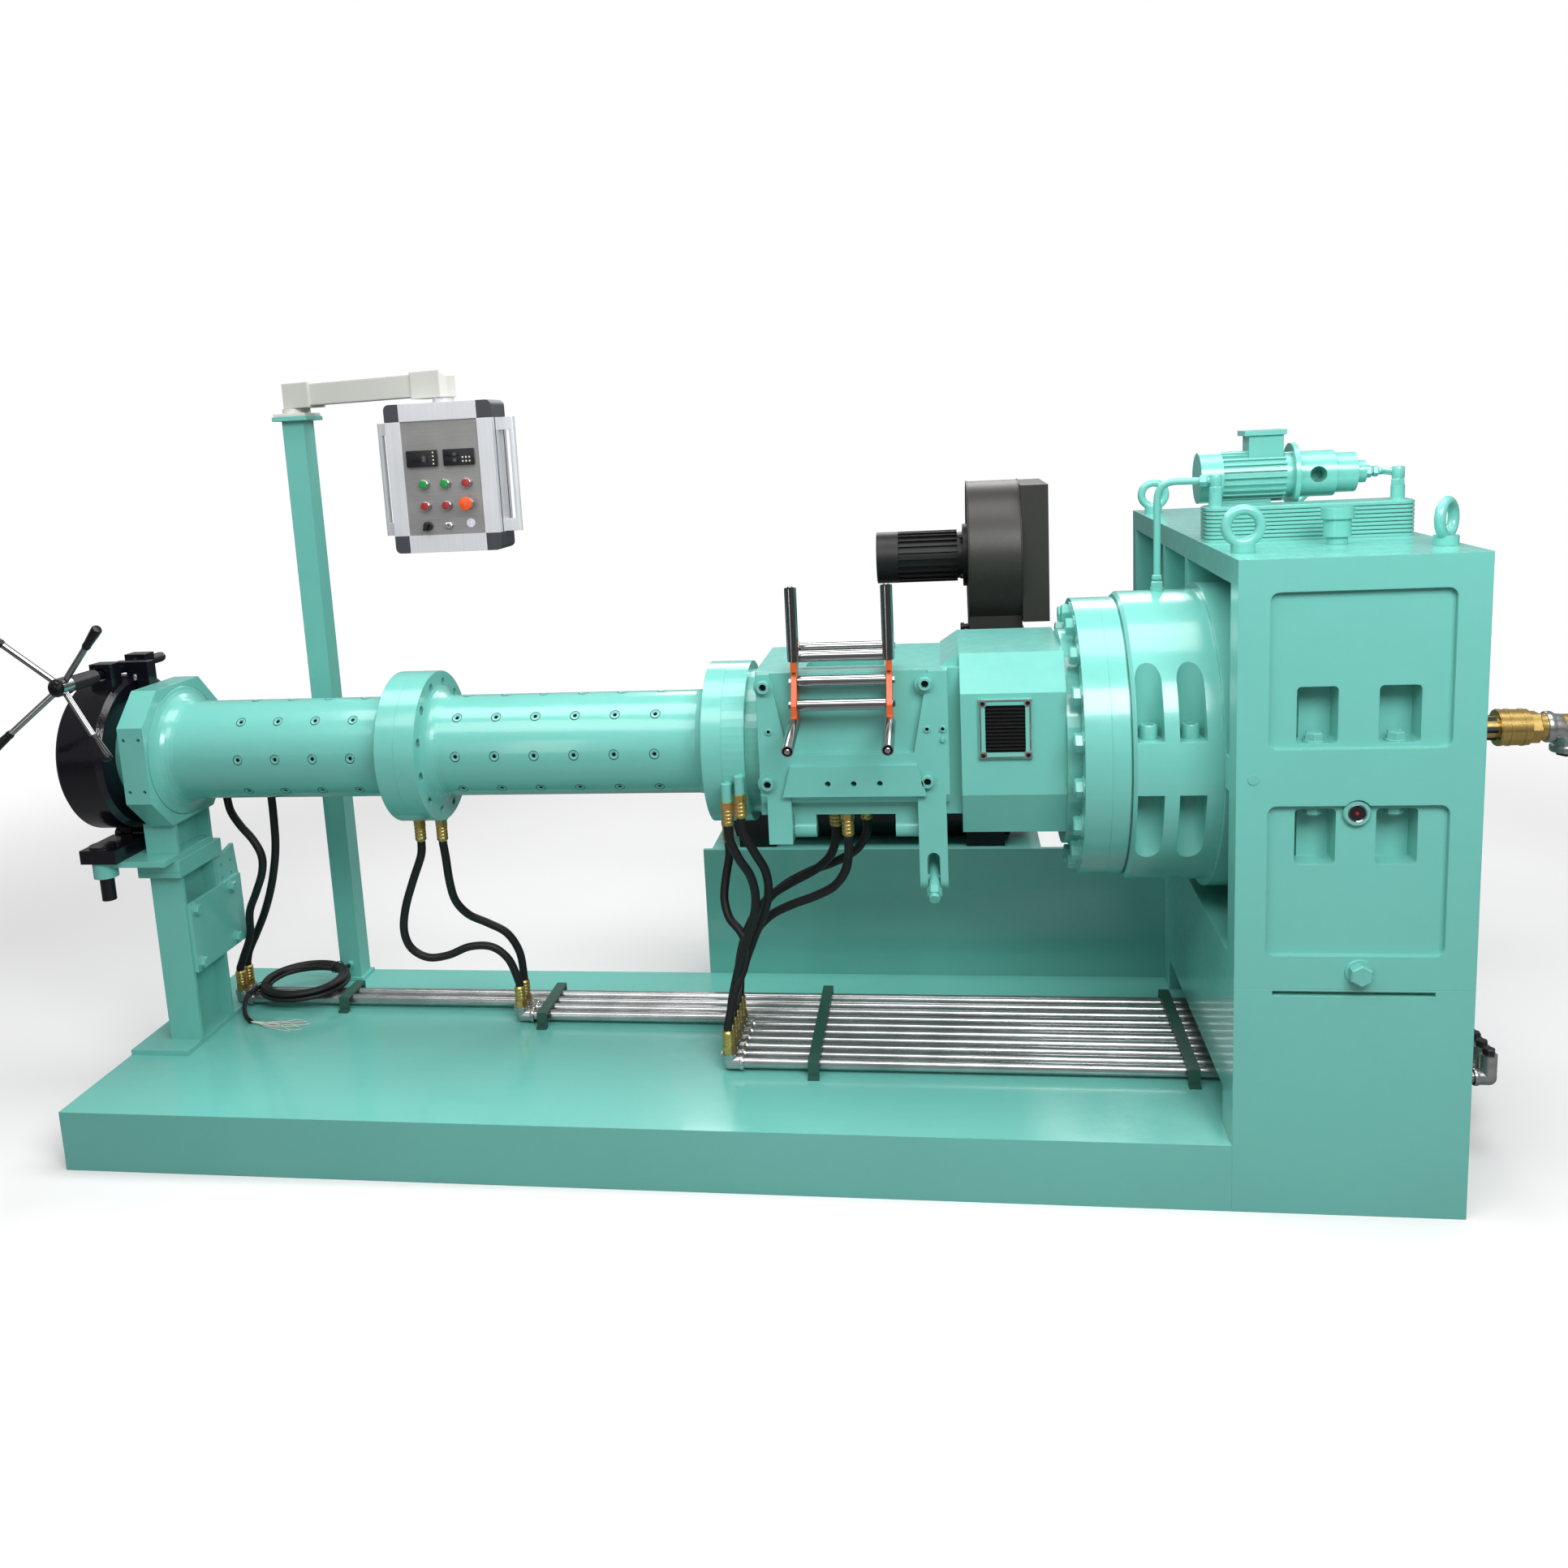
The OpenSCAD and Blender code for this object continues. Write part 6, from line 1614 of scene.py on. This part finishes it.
@dataclass
class ClampScrew:
    """Tapered grips, hub cap and thread of the clamp screw."""

    hub: tuple = (25, 221, 1305)
    cap_y: int = 198
    spokes: int = 4
    reach: float = 0.265
    grip: float = 0.078
    first: float = 42.0
    rake: float = math.radians(18.0)
    # Start and end of each thread in millimetres, and its core radius in metres.
    threads: tuple = ((250, 362, 0.0205), (646, 694, 0.0141))
    pitch: float = 4.0
    crest: float = 0.0011

    HUB_CAP = ((0.021, 0.0), (0.021, 0.004), (0.018, 0.008), (0.010, 0.010), (0.009, 0.014), (0.0, 0.015))
    GRIP_COLLAR = ((0.0105, -0.006), (0.0115, -0.002), (0.0115, 0.004), (0.0105, 0.006), (0.0112, 0.012))
    # Radius at each share of a grip's length, then share of a crest at each place along one pitch.
    GRIP_SHARES = ((0.0138, 0.8), (0.0136, 0.93), (0.0108, 0.985), (0.0, 1.0))
    CREST_SHARES = ((0.0, 0.0002), (1.0, 0.0016), (1.0, 0.0024), (0.0, 0.0038))

    def dress(self) -> None:
        """Adds the grips, the cap and the thread."""
        hub, grip = spot(self.hub), self.grip
        profile = [*self.GRIP_COLLAR, *((radius, grip * share) for radius, share in self.GRIP_SHARES)]
        with Forge("tapered_grips", Skin.GRIP, SCREW) as forge:
            for k in range(self.spokes):
                angle = math.radians(self.first + 360.0 / self.spokes * k)
                out = Vector((math.cos(angle) * math.cos(self.rake), -math.sin(self.rake),
                              math.sin(angle) * math.cos(self.rake)))
                forge.turned(profile, toward(hub + out * (self.reach - grip), out), 20)
        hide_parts("handle_grips")
        x, _, z = self.hub
        with Forge("hub_cap", Skin.GRIP, SCREW) as forge:
            forge.turned(self.HUB_CAP, seat((x, self.cap_y, z), Axis.FRONT), 28)
        with Forge("screw_thread", Skin.BLACK, SCREW) as forge:
            for start, end, core in self.threads:
                forge.turned(self._thread(end - start, core), seat((x, start, z), Axis.BACK), 24)

    def _thread(self, length: float, core: float) -> Profile:
        """Draws the crests of a thread.

        Args:
            length: Its length in millimetres.
            core: Its core radius in metres.

        Returns:
            Its profile.
        """
        profile = [(0.0, 0.0)]
        for k in range(int(length / self.pitch)):
            z = k * self.pitch / 1000.0
            profile += [(core + self.crest * share, z + along) for share, along in self.CREST_SHARES]
        return [*profile, (0.0, length / 1000.0)]


@dataclass
class Blower:
    """Flange bolts and seams of the blower."""

    sides_x: tuple = (2491, 2655)
    lip_up: float = 0.015
    lip_out: float = 0.1595
    lip_bolts: int = 4
    lip_head: tuple = (0.014, 0.009)
    motor_bolts: int = 4
    motor_bolt_r: float = 0.088
    motor_in: float = 0.014
    motor_head: tuple = (0.014, 0.008)
    stud: tuple = (0.12, 0.045)
    stud_nut: tuple = (0.022, 0.012)
    stud_nut_up: float = 0.016
    seam: tuple = (0.235, 0.0028)
    seam_in: float = 0.002

    STUD = ((0.008, 0.0), (0.008, 0.022))

    def dress(self) -> None:
        """Adds the bolts and the rolled seams."""
        middle, lip = Station("blower_motor").middle, Station("blower_scroll").low.z + self.lip_up
        x0, x1 = (spot((x, 0, 0)).x for x in self.sides_x)
        with Forge("blower_flange_bolts", Skin.MOTOR) as forge:
            for y in (-self.lip_out, self.lip_out):
                for k in range(self.lip_bolts):
                    place = Vector((x0 + (x1 - x0) * k / (self.lip_bolts - 1), middle.y + y, lip))
                    forge.hex_bolt(*self.lip_head, toward(place, Axis.UP, turn=0.3 * k))
            for angle in angles(self.motor_bolts, 0.5):
                place = Vector((x0 - self.motor_in, middle.y + self.motor_bolt_r * math.cos(angle),
                                middle.z + self.motor_bolt_r * math.sin(angle)))
                forge.hex_bolt(*self.motor_head, toward(place, Axis.LEFT, turn=0.2))
            at = toward(Vector((x0, middle.y - self.stud[0], lip + self.stud[1])), Axis.LEFT)
            forge.turned(self.STUD, at, 12)
            forge.hex_bolt(*self.stud_nut, at @ shift(0.0, 0.0, self.stud_nut_up), False)
        with Forge("blower_seams", Skin.BLOWER) as forge:
            for x in (x0 + self.seam_in, x1 - self.seam_in):
                at = toward(Vector((x, middle.y, middle.z)), Axis.RIGHT, turn=math.pi)
                forge.ring(*self.seam, at, 60)


class Finisher:
    """Gives every node of the frame its finish."""

    CHOICES: dict[Skin, tuple[str, ...]] = {
        Skin.ENAMEL: ("die_head", "clamp_front", "clamp_rear", "clamp_base", "screw_yoke", "clamp_screw"),
        Skin.MOTOR: ("main_motor", "blower_motor"),
        # The vent's mesh is near-black, painted shade of the opening behind its fins.
        Skin.PAINTED_SHADE: ("vent_mesh",),
        Skin.BLOWER: ("blower_scroll",),
        Skin.CORNER: ("box_corners",),
        Skin.STEEL: ("cross_roller_1", "cross_roller_2", "cross_roller_3", "cross_roller_4", "upright_left",
                     "upright_right", "guide_left", "guide_right", "handle_spokes", "motor_coupling"),
        Skin.PIPE: ("water_pipes",),
        Skin.BRASS: ("rotary_union", "hose_fittings"),
        Skin.ORANGE: ("roller_frame",),
        Skin.STRAP: ("pipe_clamps",),
        Skin.GRIP: ("handle_grips",),
        Skin.RUBBER: ("water_hoses", "cable_coil", "cable_ends"),
        Skin.ARM: ("arm_base", "swing_arm"),
        Skin.ALLOY: ("control_box", "box_handles"),
    }

    def dress(self, nodes: dict[str, bpy.types.Object]) -> None:
        """Assigns the finishes; what isn't named takes the machine paint.

        Args:
            nodes: Node name to its object.
        """
        named = {node: skin for skin, group in self.CHOICES.items() for node in group}
        for name, piece in nodes.items():
            material = material_of(named.get(name, Skin.PAINT))
            if not piece.material_slots:
                piece.data.materials.append(material)
            for slot in piece.material_slots:
                slot.material = material


def main() -> None:
    """Builds the scene in order."""
    logging.basicConfig(level=logging.INFO, format="%(name)s: %(message)s")
    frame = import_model()
    Studio().build()
    WaterHoses().build()
    CableCoil().build()
    Finisher().dress(frame["nodes"])
    for group in (ScrewLine(), FeedDoor(), GearCase(), HeadGroup(), ControlPanel(), Services(), OilLines(),
                  WaterUnion(), ClampScrew(), Blower()):
        group.dress()
        LOG.info("dressed %s", type(group).__name__)


if __name__ == "__main__":
    main()
